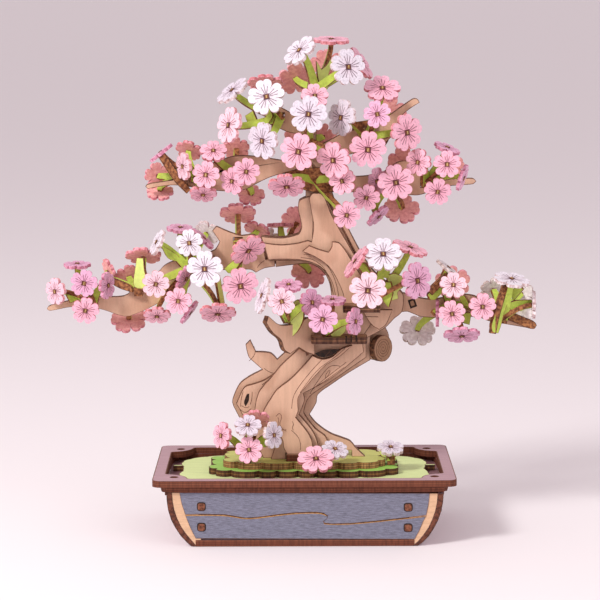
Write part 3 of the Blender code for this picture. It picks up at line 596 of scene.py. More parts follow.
TRAY_ENDS = (
    ("left", LEFT_OUTER, LEFT_INNER, LOW_END),
    ("right", RIGHT_OUTER, RIGHT_INNER, HIGH_END),
)
for side, outer, inner, end in TRAY_ENDS:
    upright_board(side + "_wall", outer + inner[::-1], -38.5, 77, 0, WALL_LOOKS,
                  side + "_end_wall", soft=0)
    for part, slide in (("front", 0), ("back", 70.7)):
        upright_board(side + "_" + part + "_strip", inner + end, -38.3, 6, 0, looks("pale", "dark"),
                      side + "_" + part + "_frame", slide, 0)
upper = LEFT_PANEL[:4] + SEAM + RIGHT_PANEL[3::-1]
lower = [(c, r + 0.6) for c, r in [LEFT_PANEL[3]] + SEAM + [RIGHT_PANEL[3]]]
lower = LEFT_PANEL[:3:-1] + lower + RIGHT_PANEL[4:]
for name, outline in (("upper", upper), ("lower", lower)):
    upright_board(name + "_panel", outline, -38.5, 3, 0, looks("slate", "dark"),
                  "front_panel_" + name, soft=0)
cut_board("back_panel", FRONT, looks("slate", "dark"), line=0.3 * MM)
base = block("base_board", (99.4 * MM, 77 * MM, PLY), (0.2 * MM, 0, PLY / 2))
finish_board(base, UP, looks("plum", "lying"), "base_plate")
well = block("well_floor", (126.8 * MM, 73 * MM, 1.85 * MM), (0, 0, 24.3 * MM))
finish_board(well, UP, looks("wine", "lying"), "tray_floor")
cut_board("lower_rim", UP, looks("plum", "lying"))
print("tray walls done")

# %% [markdown]
# ## The upper rim
# The rim is one frame with a rounded lobe filling each inner corner, where a pin would hold the
# stack together. It is a plate with its corners rounded, cut by a block from which four round posts
# have already been taken away, so the posts' shapes stay behind as the lobes.

# %% Upper rim
RIM_SIZE = (138 * MM, 84 * MM)
RIM_OPENING = (127 * MM, 73 * MM)
LOBE = 10.3 * MM
PIN_HOLE = 1.7 * MM
RIM_MIDDLE = 29.5 * MM

rim = block("upper_rim_cut", (*RIM_SIZE, PLY), (0, 0, RIM_MIDDLE))
round_uprights(rim, 4 * MM, 6)
opening = block("rim_opening", (*RIM_OPENING, 2 * PLY), (0, 0, RIM_MIDDLE))
for sx in (1, -1):
    for sy in (1, -1):
        corner = (sx * RIM_OPENING[0] / 2, sy * RIM_OPENING[1] / 2, RIM_MIDDLE)
        cut(opening, post("lobe", LOBE, 4 * PLY, corner))
round_uprights(opening, 1.6 * MM, 4)
cut(rim, opening)
for sx in (1, -1):
    for sy in (1, -1):
        where = (sx * (RIM_OPENING[0] / 2 - 4.2 * MM), sy * (RIM_OPENING[1] / 2 - 3.6 * MM), RIM_MIDDLE)
        cut(rim, post("pin_hole", PIN_HOLE, 4 * PLY, where, 20))
finish_board(rim, UP, looks("plum", "lying"), "upper_rim", line=0.4 * MM)
print("rim faces:", len(rim.data.polygons))

# %% [markdown]
# ## Tenons in the long sides
# Short tenons show as rounded brown squares, two at each end of a long side. Each stands on a
# slightly larger dark plate, which reads as the charred gap round it.

# %% Tenons
def square(column, row, half):
    return [(column + half * sx, row + half * sy) for sx, sy in ((-1, -1), (1, -1), (1, 1), (-1, 1))]


TENON_SPOTS = ((200.4, 508.5), (200.4, 529.5), (408, 508.5), (408, 529.5))
wood = plain_edge("tenon_wood", (0.09, 0.028, 0.014), (0.24, 0.085, 0.045))
for index, (column, row) in enumerate(TENON_SPOTS):
    for side, slide in (("front", 0), ("back", 77.05)):
        name = "tenon_" + side + str(index)
        upright_board(name + "_gap", square(column, row - 0.2, 4.5), -38.6, 0.15, 0, DARK,
                      None, slide, 95)
        upright_board(name, square(column, row + 0.1, 3.9), -38.7, 0.35, 0,
                      (wood, wood, edges["char"]), None, slide, 95)
print("eight tenons")

# %% [markdown]
# ## Painted ground boards
# Soil and moss are boxy ovals whose edges are broken into round lobes of uneven width. The outline
# is walked at an even pace, cut into lobes, and each lobe sinks towards its ends like an arch. The
# disc with these corners is extruded to the board's thickness.

# %% Ground boards
def boxy_oval(size, steps=1440):
    """Corners of a smooth boxy oval, with the distance walked to each."""
    corners, walked = [], [0.0]
    for i in range(steps):
        angle = 2 * math.pi * i / steps
        reach = 1 - 0.10 * math.cos(4 * angle)
        x, y = size[0] / 2 * reach * math.cos(angle), size[1] / 2 * reach * math.sin(angle)
        corners.append(Vector((x, y)))
    for here, after in zip(corners, corners[1:] + corners[:1]):
        walked.append(walked[-1] + (after - here).length)
    return corners, walked


def lobed(size, count, depth, seed, steps=8):
    """The oval's outline with this many lobes, which sink by depth at their ends."""
    corners, walked = boxy_oval(size)
    uneven = random.Random(seed)
    shares = [uneven.uniform(0.7, 1.3) for _ in range(count)]
    outline, start = [], 0.0
    for share in shares:
        width = share / sum(shares) * walked[-1]
        for step in range(steps):
            t = step / steps
            index = bisect.bisect(walked, start + t * width) - 1
            here, after = corners[index % len(corners)], corners[(index + 3) % len(corners)]
            along = (after - here).normalized()
            sink = depth * (1 - math.sqrt(1 - (2 * t - 1) ** 2))
            outline.append(here + Vector((-along.y, along.x)) * sink)
        start += width
    return outline


GROUND = (
    ("soil_cut", (126, 73), 34, 0.6, 3, 28, looks("soil", "moss"), "soil_paint", "soil_board"),
    ("moss_low_cut", (96, 48.4), 22, 2.7, 8, 31, looks("moss", "moss"), "moss_paint", "moss_low"),
    ("moss_high_cut", (82, 38.4), 16, 2.5, 5, 34, looks("olive", "olive"), "olive_paint", "moss_high"),
)
for name, (wide, deep), count, sink, seed, top, paint, slot, replaced in GROUND:
    outline = lobed((wide * MM, deep * MM), count, sink * MM, seed)
    disc = extruded(name, [(spot.x, spot.y, top * MM - PLY) for spot in outline], (0, 0, PLY))
    finish_board(disc, UP, paint, replaced)
for side in (-1, 1):
    where = (side * 58.6 * MM, 8.8 * MM, 26.6 * MM)
    tab = block("soil_tab" + str(side), (6.5 * MM, 1.6 * MM, 2.7 * MM), where)
    finish_board(tab, UP, looks("soil", "moss"), None, line=0.15 * MM)
print("three ground boards")

# %% [markdown]
# ## The knot
# The sawn end of a cut branch is a small disc with growth rings engraved in it. The rings are a
# spiral thread of char, sunk halfway into the disc's face.

# %% Knot disc and a helper for engraved lines
def engraved(name, strokes, width, paint=burn_and_shadow_line):
    """Thin lines half sunk in a face: char, and in the pieces named shadow, painted shadow. Each stroke is
    a list of real places.
    """
    curve = bpy.data.curves.new(name, "CURVE")
    curve.dimensions = "3D"
    curve.bevel_depth = width / 2
    curve.bevel_resolution = 0
    curve.resolution_u = 4
    curve.use_fill_caps = True
    for stroke in strokes:
        spline = curve.splines.new("NURBS")
        spline.points.add(len(stroke) - 1)
        for point, where in zip(spline.points, stroke):
            point.co = (*where, 1)
        spline.use_endpoint_u = True
        spline.order_u = 3
    lines = bpy.data.objects.new(name, curve)
    bpy.context.scene.collection.objects.link(lines)
    activate(lines)
    bpy.ops.object.convert(target="MESH")
    lines = bpy.context.object
    edit_all()
    bpy.ops.mesh.remove_doubles(threshold=WELD)
    bpy.ops.mesh.normals_make_consistent(inside=False)
    bpy.ops.object.mode_set(mode="OBJECT")
    lines.data.materials.append(paint)
    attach(lines, "root")
    return lines


KNOT_TURN = math.radians(45)
knot_front = Matrix.Rotation(KNOT_TURN, 4, "Z") @ Vector((0, -1, 0))
# The knot's brown face is painted shade: the knot sits in shadow beside the trunk.
cut_board("knot_disc", (knot_front.x, knot_front.y, 0), looks("brown", "slanting"))
low_corner, high_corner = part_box("knot_disc")
middle = (low_corner + high_corner) / 2 + knot_front * (PLY / 2)
sideways = Vector((math.cos(KNOT_TURN), math.sin(KNOT_TURN), 0))
spiral = []
for i in range(46):
    bend = i * 0.52
    reach = (0.4 + i * 0.105) * MM
    spiral.append(middle + sideways * reach * math.cos(bend) + Vector(UP) * reach * math.sin(bend))
engraved("knot_rings", [spiral], 0.28 * MM)
print("knot and its rings")

# %% [markdown]
# ## Petal colours
# Five prints are used, from near white to lilac pink. On each, three fine veins fan out along
# every petal, and a charred square surrounds the tenon. Every flower carries its own flat
# coordinates in an attribute, so the veins turn with it, and a randomly drawn tint beside them.

# %% Petal finish
def math_node(nodes, links, operation, first, second=None, clamp=False):
    node = nodes.new("ShaderNodeMath")
    node.operation = operation
    node.use_clamp = clamp
    for socket, value in zip(node.inputs, (first, second)):
        if value is None:
            continue
        if isinstance(value, (int, float)):
            socket.default_value = value
        else:
            links.new(value, socket)
    return node.outputs[0]


def petal_print(name, colour, vein, blush):
    material, nodes, links, shader = new_material(name, 0.55)
    attribute = nodes.new("ShaderNodeAttribute")
    attribute.attribute_name = "petal"
    split = nodes.new("ShaderNodeSeparateXYZ")
    links.new(attribute.outputs["Vector"], split.inputs["Vector"])
    x, y, tint = split.outputs

    def step(operation, first, second=None, clamp=False):
        return math_node(nodes, links, operation, first, second, clamp)

    reach = step("SQRT", step("ADD", step("MULTIPLY", x, x), step("MULTIPLY", y, y)))
    turn = step("ARCTAN2", x, y)
    fifth = 2 * math.pi / 5
    bend = step("PINGPONG", step("ADD", turn, 20 * fifth), fifth / 2)
    across = step("MULTIPLY", reach, step("SINE", bend))
    along = step("MULTIPLY", reach, step("COSINE", bend))
    slope = step("DIVIDE", across, step("MAXIMUM", along, 0.05))
    near = step("MINIMUM", slope, step("ABSOLUTE", step("SUBTRACT", slope, 0.30)))
    gap = step("MULTIPLY", near, along)
    line = step("SUBTRACT", 1, step("DIVIDE", gap, 0.034), True)
    end = step("SUBTRACT", 0.72, step("MULTIPLY", slope, 0.45))
    inside = step("MULTIPLY", step("LESS_THAN", along, end), step("GREATER_THAN", along, 0.18))
    hole = step("LESS_THAN", step("MAXIMUM", step("ABSOLUTE", x), step("ABSOLUTE", y)), 0.165)
    veins = step("MAXIMUM", step("MULTIPLY", line, inside), hole)
    grain = stretched_noise(nodes, links, (3, 3, 3), 380, 3)
    low = tuple(c * 0.80 for c in colour)
    base = ramp(nodes, links, grain, ((0.36, low), (0.60, colour)))
    warm = ramp(nodes, links, reach, ((0.15, blush), (0.75, (1, 1, 1))))
    base = mix(nodes, links, "MULTIPLY", 1.0, base, warm)
    own = ramp(nodes, links, tint, ((0.0, (0.88, 0.84, 0.88)), (1.0, (1, 1, 1))))
    base = mix(nodes, links, "MULTIPLY", 1.0, base, own)
    final = nodes.new("ShaderNodeMix")
    final.data_type = "RGBA"
    links.new(step("MULTIPLY", veins, 0.95), final.inputs["Factor"])
    links.new(base, final.inputs[6])
    final.inputs[7].default_value = (*vein, 1)
    links.new(final.outputs[2], shader.inputs["Base Color"])
    bump(nodes, links, shader, step("SUBTRACT", 1, veins), 0.00012)
    return material


VEIN = (0.08, 0.012, 0.018)
prints = {
    "pink": petal_print("pink_petal", (0.92, 0.51, 0.62), VEIN, (0.98, 0.82, 0.85)),
    "pale": petal_print("pale_petal", (0.93, 0.64, 0.72), VEIN, (1.0, 0.88, 0.90)),
    "lilac": petal_print("lilac_petal", (0.80, 0.45, 0.62), VEIN, (1.0, 0.86, 0.90)),
    "white": petal_print("white_petal", (0.79, 0.75, 0.82), (0.08, 0.03, 0.05), (1.0, 0.90, 0.92)),
    "grey": petal_print("grey_petal", (0.76, 0.72, 0.74), (0.20, 0.10, 0.12), (1.0, 0.95, 0.95)),
}
rims_of = {
    "pink": plain_edge("pink_edge", (0.52, 0.16, 0.18), (0.80, 0.36, 0.42)),
    "pale": plain_edge("pale_edge", (0.60, 0.26, 0.28), (0.86, 0.52, 0.56)),
    "lilac": plain_edge("lilac_edge", (0.46, 0.16, 0.24), (0.74, 0.36, 0.50)),
    "white": plain_edge("white_edge", (0.52, 0.36, 0.36), (0.84, 0.76, 0.78)),
    "grey": plain_edge("grey_edge", (0.42, 0.30, 0.28), (0.66, 0.60, 0.58)),
}
petal_back = plain_edge("petal_back", (0.80, 0.33, 0.33), (0.95, 0.48, 0.46))
pale_back = plain_edge("pale_back", (0.74, 0.67, 0.68), (0.92, 0.87, 0.88))
# The green twig face gets the same patches of painted shadow.
twig_green = face("twig_green", (0.50, 0.64, 0.10), 0.20, (5, 5, 5), shadow_patches=0.25)
twig_lime = face("twig_lime", (0.66, 0.78, 0.22), 0.12, (5, 5, 5))
twig_edge = plain_edge("twig_edge", (0.13, 0.042, 0.018), (0.40, 0.17, 0.065))
tenon_end = plain_edge("tenon_end", (0.10, 0.032, 0.016), (0.24, 0.09, 0.04))
tenon_stripe = plain_edge("tenon_stripe", (0.36, 0.24, 0.08), (0.58, 0.44, 0.18))
print("petal prints:", ", ".join(prints))

# %% [markdown]
# ## One flower, modelled once
# Five heart-shaped petals in one flat board. A disc of eighty corners is drawn out to the petals'
# outline, sixteen corners a petal, and extruded. Every flower on the tree is a copy of this mesh,
# placed by its own matrix, so that it keeps few faces.

# %% The flower
HALF_PETAL = (
    (0.0, 0.89), (4.0, 0.965), (9.5, 1.0), (16.5, 0.995), (23.5, 0.955), (29.0, 0.875), (32.8, 0.76),
    (35.0, 0.62), (36.0, 0.44),
)
FLOWER_PLY = 1.5 * MM


def petal_corners():
    """Angle in degrees and reach of every corner, all round the flower."""
    left = [(-a, r) for a, r in reversed(HALF_PETAL)]
    whole = left + list(HALF_PETAL)[1:]
    return [(72 * petal + a, r) for petal in range(5) for a, r in whole[:-1]]


flower = extruded("flower", [
    (reach * math.sin(math.radians(angle)), reach * math.cos(math.radians(angle)), -0.5)
    for angle, reach in petal_corners()
], (0, 0, 1))
edit_all()
bpy.ops.mesh.normals_make_consistent(inside=False)
bpy.ops.object.mode_set(mode="OBJECT")
flower_mesh = flower.data
for flat in flower_mesh.polygons:
    flat.material_index = 0 if flat.normal.z > 0.9 else (2 if flat.normal.z < -0.9 else 1)
bpy.data.objects.remove(flower)
print("flower faces:", len(flower_mesh.polygons))

# %% [markdown]
# ## One tenon end, modelled once
# Each flower is pushed on a square tenon, whose end shows brown wood with a stripe of the green
# print. It is a small block with a slightly longer, narrower one across it.

# %% The tenon end
TENON = 1.8 * MM
tenon_block = block("tenon_block", (TENON, TENON, 2.6 * MM), (0, 0, -0.2 * MM))
stripe = block("tenon_stripe", (0.45 * MM, TENON * 0.8, 2.64 * MM), (0, 0, -0.2 * MM))
tenon_meshes = [tenon_block.data, stripe.data]
bpy.data.objects.remove(tenon_block)
bpy.data.objects.remove(stripe)

# %% [markdown]
# ## One twig arm, modelled once
# An arm is a flat strip of board, green on its two printed faces and charred brown on its narrow
# edges. It starts as a small plane, extruded seven times to make a straight strip, and each copy is
# then bent along its own way from the hub to its flower.

# %% The straight strip
STRIP_STEPS = 7
bpy.ops.object.select_all(action="DESELECT")
bpy.ops.mesh.primitive_plane_add(size=1, location=(0, 0, 0))
strip = bpy.context.object
bpy.ops.object.mode_set(mode="EDIT")
for _ in range(STRIP_STEPS):
    bpy.ops.mesh.extrude_region_move(TRANSFORM_OT_translate={"value": (0, 0, 1 / STRIP_STEPS)})
bpy.ops.mesh.select_all(action="SELECT")
bpy.ops.mesh.normals_make_consistent(inside=False)
bpy.ops.object.mode_set(mode="OBJECT")
strip_mesh = strip.data
for flat in strip_mesh.polygons:
    flat.material_index = 0 if abs(flat.normal.x) > 0.9 else 1
bpy.data.objects.remove(strip)
print("strip faces:", len(strip_mesh.polygons))

# %% [markdown]
# ## The sprigs
# A sprig is a slotted twig with its flowers. The table gives, for each, the hub where its foot
# passes through a branch or stands on a shelf, the depth of the foot's front and back end, and its
# flowers: column, row and depth, the way it faces (degrees to the right, degrees up), its radius and
# its print.

# %% Table of sprigs
# Radii in millimetres of the large and the small flowers
L = 8.5
S = 6.35
SPRIGS = {
    "crown_top": ((316, 90), (-4.5, 4.5), None, [
        (300.9, 52.3, -8, -50, 42, L, "white"), (331.7, 41.6, 2, 10, 82, L, "pink"),
        (347.6, 68.3, -17, 25, 14, L, "white"), (360.8, 63.7, 6, 72, 32, L, "pink"),
        (315.2, 97, -19, 5, 32, S, "pink"), (296, 78, 15, 200, 30, L, "pale"),
        (328, 66, 22, 170, 25, L, "pink")]),
    "crown_left": ((281, 117), (-7.5, 1.5), None, [
        (234.8, 91.6, -5, -62, 50, L, "white"), (267.9, 97.9, -19, -5, 22, L, "white"),
        (231.3, 125.5, -14, -52, 12, L, "pale"), (264.3, 140.7, -21, -40, -4, L, "white"),
        (267, 83.6, 9, 180, 62, L, "pink")]),
    "crown_middle": ((309, 140), (-4.5, 4.5), None, [
        (308.9, 114.8, -28, 0, 8, L, "white"), (299.1, 151.4, -27, -8, 0, L, "pink"),
        (323.5, 136, 8, 178, 0, S, "pink"), (300, 125, 20, 190, 5, L, "pink"),
        (333.9, 159.5, -23, -28, -8, L, "pink")]),
    "crown_right": ((366, 137), (-7.5, 1.5), None, [
        (381.7, 89.2, -8, 5, 50, L, "pink"), (376.6, 114.2, -20, 0, 6, S, "lilac"),
        (405.2, 132, -17, 33, 0, L, "pink"), (367.4, 148.9, -22, 0, -6, L, "pink"),
        (341.9, 117.8, -15, -47, 8, L, "white"), (388, 112, 14, 172, 15, L, "pink")]),
    "crown_low_right": ((388, 183), (-1.5, 7.5), None, [
        (395, 181, -15, 6, -6, L, "pink"), (377.7, 180, -8, -50, 0, S, "lilac"),
        (366, 196, -14, 0, -14, S, "pink"), (377.5, 213.8, -5, 60, -42, S, "lilac"),
        (401.1, 207, 10, 180, -45, L, "pink"),
        (405, 160, 16, 175, 30, L, "pink")]),
    "trunk_top": ((313, 179), (-4.5, 4.5), None, [
        (287.3, 184.8, -19, 0, -50, L, "pink"), (346.3, 213.8, -23, 8, -4, S, "pink"),
        (342.4, 180, -20, -18, -4, S, "pink")]),
    "upper_left_inner": ((238, 173), (-7.5, 1.5), None, [
        (247.3, 171, -17, 5, 0, S, "pink"), (234.1, 180.2, -14, -30, -8, S, "pink"),
        (252.4, 194, 9, 180, -50, S, "pink"), (215.2, 151.3, -10, 0, 47, S, "pink"),
        (237.7, 148, 9, 180, 32, S, "pink")]),
    "upper_left_outer": ((196, 176.5), (-7.5, 1.5), None, [
        (207.6, 174.1, -15, 0, 0, S, "pink"), (204.8, 192.6, -10, 0, -52, S, "pink"),
        (186.1, 165.9, -12, -58, 0, S, "pale"), (191.2, 149.6, 8, 160, 45, S, "pink"),
        (163.7, 152.7, -6, -88, 52, S, "lilac"), (159.6, 175.1, 7, -150, 0, S, "pink"),
        (162, 191, 4, 180, -60, S, "pink")]),
    "left_stem": ((239, 240), (-4.5, 4.5), None, [
        (248.6, 248.7, -17, 30, -36, L, "pink"), (239.1, 212, 6, 180, 54, L, "pink"),
        (240.9, 284.7, -20, 10, -4, L, "pink"), (258, 228, 12, 150, 50, S, "pink")]),
    "left_rear": ((285, 249), (7.8, 12.5), None, [
        (281.2, 223.5, 16, 180, 80, S, "pink"), (298, 221, 27, 150, 20, L, "pink"),
        (309.3, 271, 17, 180, -38, L, "pink"), (267, 238, 22, 180, 10, S, "white")]),
    "left_cluster": ((190, 267), (-7.5, 1.5), None, [
        (206, 267.9, -22, -10, 5, L, "white"), (218.3, 311.6, -14, 0, -54, L, "pink"),
        (204.5, 237.8, -8, 84, 46, S, "lilac"), (208.6, 231, 8, 150, 30, S, "white"),
        (190.9, 242, -14, -5, 8, S, "white"), (159.4, 241.6, -8, -72, 26, S, "white"),
        (181.8, 227.5, 3, 20, 80, S, "lilac"), (186, 277, -10, 58, -18, S, "lilac"),
        (156.8, 283, -16, 12, 0, S, "pale"), (179.3, 299.8, -16, -6, 0, S, "pink"),
        (158, 314, -9, 0, -50, S, "pink"), (190, 311, -9, 78, -35, S, "lilac")]),
    "far_left_stem": ((140, 290), (-7.5, 1.5), None, [
        (145.1, 254.5, 2, 180, 60, L, "pink"), (129.8, 318.5, 8, 180, -54, L, "pink"),
        (130.3, 275.3, 9, 190, 28, S, "pink"), (111.4, 270.2, 7, 115, 20, S, "pink")]),
    "far_left_tip": ((95, 300.8), (-7.5, 1.5), None, [
        (108.4, 284.5, -12, 64, 0, S, "lilac"), (85.9, 282.4, -15, 0, 4, S, "lilac"),
        (79.3, 264.1, -4, 0, 84, S, "lilac"), (86.9, 309.5, -15, 0, -8, S, "pink"),
        (57.9, 290.6, -11, -42, 0, S, "pale")]),
    "bracket_twig": ((287, 326), (-18.2, -14.6), 99.3, [
        (263.4, 294.8, -27, -76, 18, L, "white"), (281.9, 300.5, -36, 5, 15, S, "pale"),
        (288.9, 284.6, -24, 0, 72, S, "lilac"), (311.2, 301.2, -26, 40, 10, S, "lilac")]),
    "platform_twig": ((326, 330), (-17, -13), 93.3, [
        (322.5, 318, -34, 0, 2, 6.9, "lilac"), (332.2, 299.3, -22, 0, 80, S, "lilac"),
        (354, 320, -28, 56, 0, S, "lilac")]),
    "right_front_twig": ((375, 300), (-17, -13), 107.8, [
        (382.6, 253.3, -25, 0, 35, L, "white"), (367.3, 289, -33, 0, 2, L, "pale"),
        (355.8, 260.5, -22, -80, 36, L, "pink"), (409.1, 246.7, -12, 60, 68, L, "pink"),
        (415.8, 279, -24, 38, 4, L, "lilac")]),
    "right_twig": ((450, 303), (-4.5, 4.5), None, [
        (446.9, 266.4, -7, 84, 52, S, "grey"), (452.2, 283.6, -15, 5, 28, S, "pale"),
        (451.2, 311.8, -16, 0, 0, S, "pink"), (481.3, 304.6, -17, 5, 0, S, "pink"),
        (461.2, 332.9, -10, 0, -60, L, "lilac"), (436.8, 311.3, -9, 86, 0, S, "lilac"),
        (417.2, 329, 10, 180, -45, L, "grey"), (452, 280, 15, 175, 20, L, "pink")]),
    "far_right_twig": ((501, 316), (-7.5, 1.5), None, [
        (510, 277.8, -14, 30, 74, L, "white"), (532.5, 302.7, -10, 86, 0, S, "white"),
        (491.9, 286.5, 9, 200, 30, S, "grey"), (521.2, 291, 12, 150, 10, S, "grey"),
        (521.2, 306, 13, 175, -18, S, "grey")]),
    "right_tip": ((424, 181), (-1.5, 7.5), None, [
        (417.4, 161.1, -12, -30, 0, S, "pink"), (445.5, 163.2, -15, 0, 6, S, "pink"),
        (445.5, 147.3, -2, 60, 66, S, "lilac"), (460.8, 176.2, -9, 74, -18, S, "lilac"),
        (436.3, 190, -13, 0, -10, S, "pink"), (450, 165, 14, 180, 12, S, "pink")]),
    "base_left": ((247, 451), (-16, -12), 34.3, [
        (247.5, 426, -28, 0, 52, S, "white"), (248.6, 450.4, -30, 0, 20, S, "pink"),
        (222, 435.8, -24, -52, 8, S, "pink"), (272.5, 435.2, -26, 52, 8, S, "white"),
        (255.7, 419, -16, 180, 42, S, "pink")]),
    "base_front": ((322, 457), (-17.6, -13.6), 34.3, [
        (315.6, 460, -28, 0, 57, L, "pink"), (334.6, 450, -20, 20, 61, S, "white")]),
    "base_right": ((391, 459), (-8, -4), 31.3, [(390.5, 448, -7, 10, 70, S, "white")]),
}
print("sprigs:", len(SPRIGS), "flowers:", sum(len(spec[3]) for spec in SPRIGS.values()))

# %% Placing a flower and bending an arm
ARM_WIDTH = 4.4 * MM
ARM_THICK = 2.2 * MM
chance = random.Random(11)


def facing(yaw, tilt):
    turn, lift = math.radians(yaw), math.radians(tilt)
    return Vector((math.cos(lift) * math.sin(turn), -math.cos(lift) * math.cos(turn), math.sin(lift)))


def placed(name, mesh, matrix, materials):
    """A copy of a mesh with its place in its own corners."""
    copy = mesh.copy()
    copy.transform(matrix)
    for material in materials:
        copy.materials.append(material)
    made = bpy.data.objects.new(name, copy)
    bpy.context.scene.collection.objects.link(made)
    return made


def make_flower(name, centre, normal, radius, tone):
    spin = Matrix.Rotation(math.radians(chance.uniform(-14, 14)), 4, "Z")
    turned = Matrix.Translation(centre) @ normal.to_track_quat("Z", "Y").to_matrix().to_4x4() @ spin
    size = Matrix.Diagonal((radius, radius, FLOWER_PLY, 1))
    back = pale_back if tone in ("white", "grey") else petal_back
    made = placed(name, flower_mesh, turned @ size, (prints[tone], rims_of[tone], back))
    own = made.data.attributes.new("petal", "FLOAT_VECTOR", "POINT")
    tint = chance.random()
    for value, corner in zip(own.data, flower_mesh.vertices):
        value.vector = (corner.co.x, corner.co.y, tint)
    ends = []
    for mesh, paint in zip(tenon_meshes, (tenon_end, tenon_stripe)):
        ends.append(placed(name + "_tenon", mesh, turned, (paint,)))
    return made, ends


def bend_arm(name, start, end, normal, width, across):
    """A strip bent from the hub to a flower, arriving square to it. An across one stands edge-on."""
    run = end - start
    ahead = Vector((0.2, -1, 0.3))
    flat = (ahead - run * ahead.dot(run) / run.length_squared).normalized()
    if across:
        flat = run.cross(flat).normalized()
    pull = run.length / 3
    ways = (start, start + (run.normalized() * 0.5 - normal * 0.1) * pull, end - normal * pull, end)
    arm = placed(name, strip_mesh, Matrix.Identity(4), (twig_green, twig_edge))
    for corner in arm.data.vertices:
        t = corner.co.z
        u = 1 - t
        where = ways[0] * u**3 + ways[1] * 3 * u * u * t + ways[2] * 3 * u * t * t + ways[3] * t**3
        first, second, third = (b - a for a, b in zip(ways, ways[1:]))
        heading = first * u * u + second * 2 * u * t + third * t * t
        side = heading.cross(flat).normalized()
        wide = width * (1 - 0.45 * t) * corner.co.y
        corner.co = where + side * wide + flat * ARM_THICK * corner.co.x
    return arm


def join(name, objects, replaced=None):
    bpy.ops.object.select_all(action="DESELECT")
    for obj in objects:
        obj.select_set(True)
    bpy.context.view_layer.objects.active = objects[0]
    if len(objects) > 1:
        bpy.ops.object.join()
    made = bpy.context.view_layer.objects.active
    made.name = name
    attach(made, "root")
    if replaced:
        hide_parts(replaced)
    return made


# %% Make every sprig
PEG = 3.6 * MM
for name, (hub, (near, far), level, flowers) in SPRIGS.items():
    middle = place(hub[0], hub[1], (near + far) / 2 * MM)
    if level is not None:
        middle.z = (level + 2) * MM
    foot = block(name + "_foot", (PEG, (far - near) * MM, PEG + (0.4 * MM if level else 0)), middle)
    foot.data.materials.append(twig_edge)
    twig = [foot]
    heads = []
    for i, (column, row, depth, yaw, tilt, radius, tone) in enumerate(flowers):
        centre = place(column, row, depth * MM)
        normal = facing(yaw, tilt)
        start = middle.copy()
        start.y = near * MM + PEG / 3 if centre.y < middle.y else far * MM - PEG / 3
        head, ends = make_flower(name + "_flower" + str(i), centre, normal, radius * MM, tone)
        heads.append(head)
        twig += ends
        twig.append(bend_arm(name + "_arm" + str(i), start, centre - normal * MM, normal, ARM_WIDTH,
                             i % 3 == 1))
    join(name + "_flowers", heads, name + "_sprig")
    join(name + "_twig", twig, name + "_sprig")

# %% [markdown]
# ## Leafy boards
# Wide green boards stand between the flowers: they are the leafy middles of the twigs. A row gives
# the depth in millimetres, the turn in degrees, the finish and the outline. The bars are cross
# boards of the twigs seen edge-on, charred brown all over. The bar across the trunk's top is also
# darkened as painted shade, for the shade under the crown.

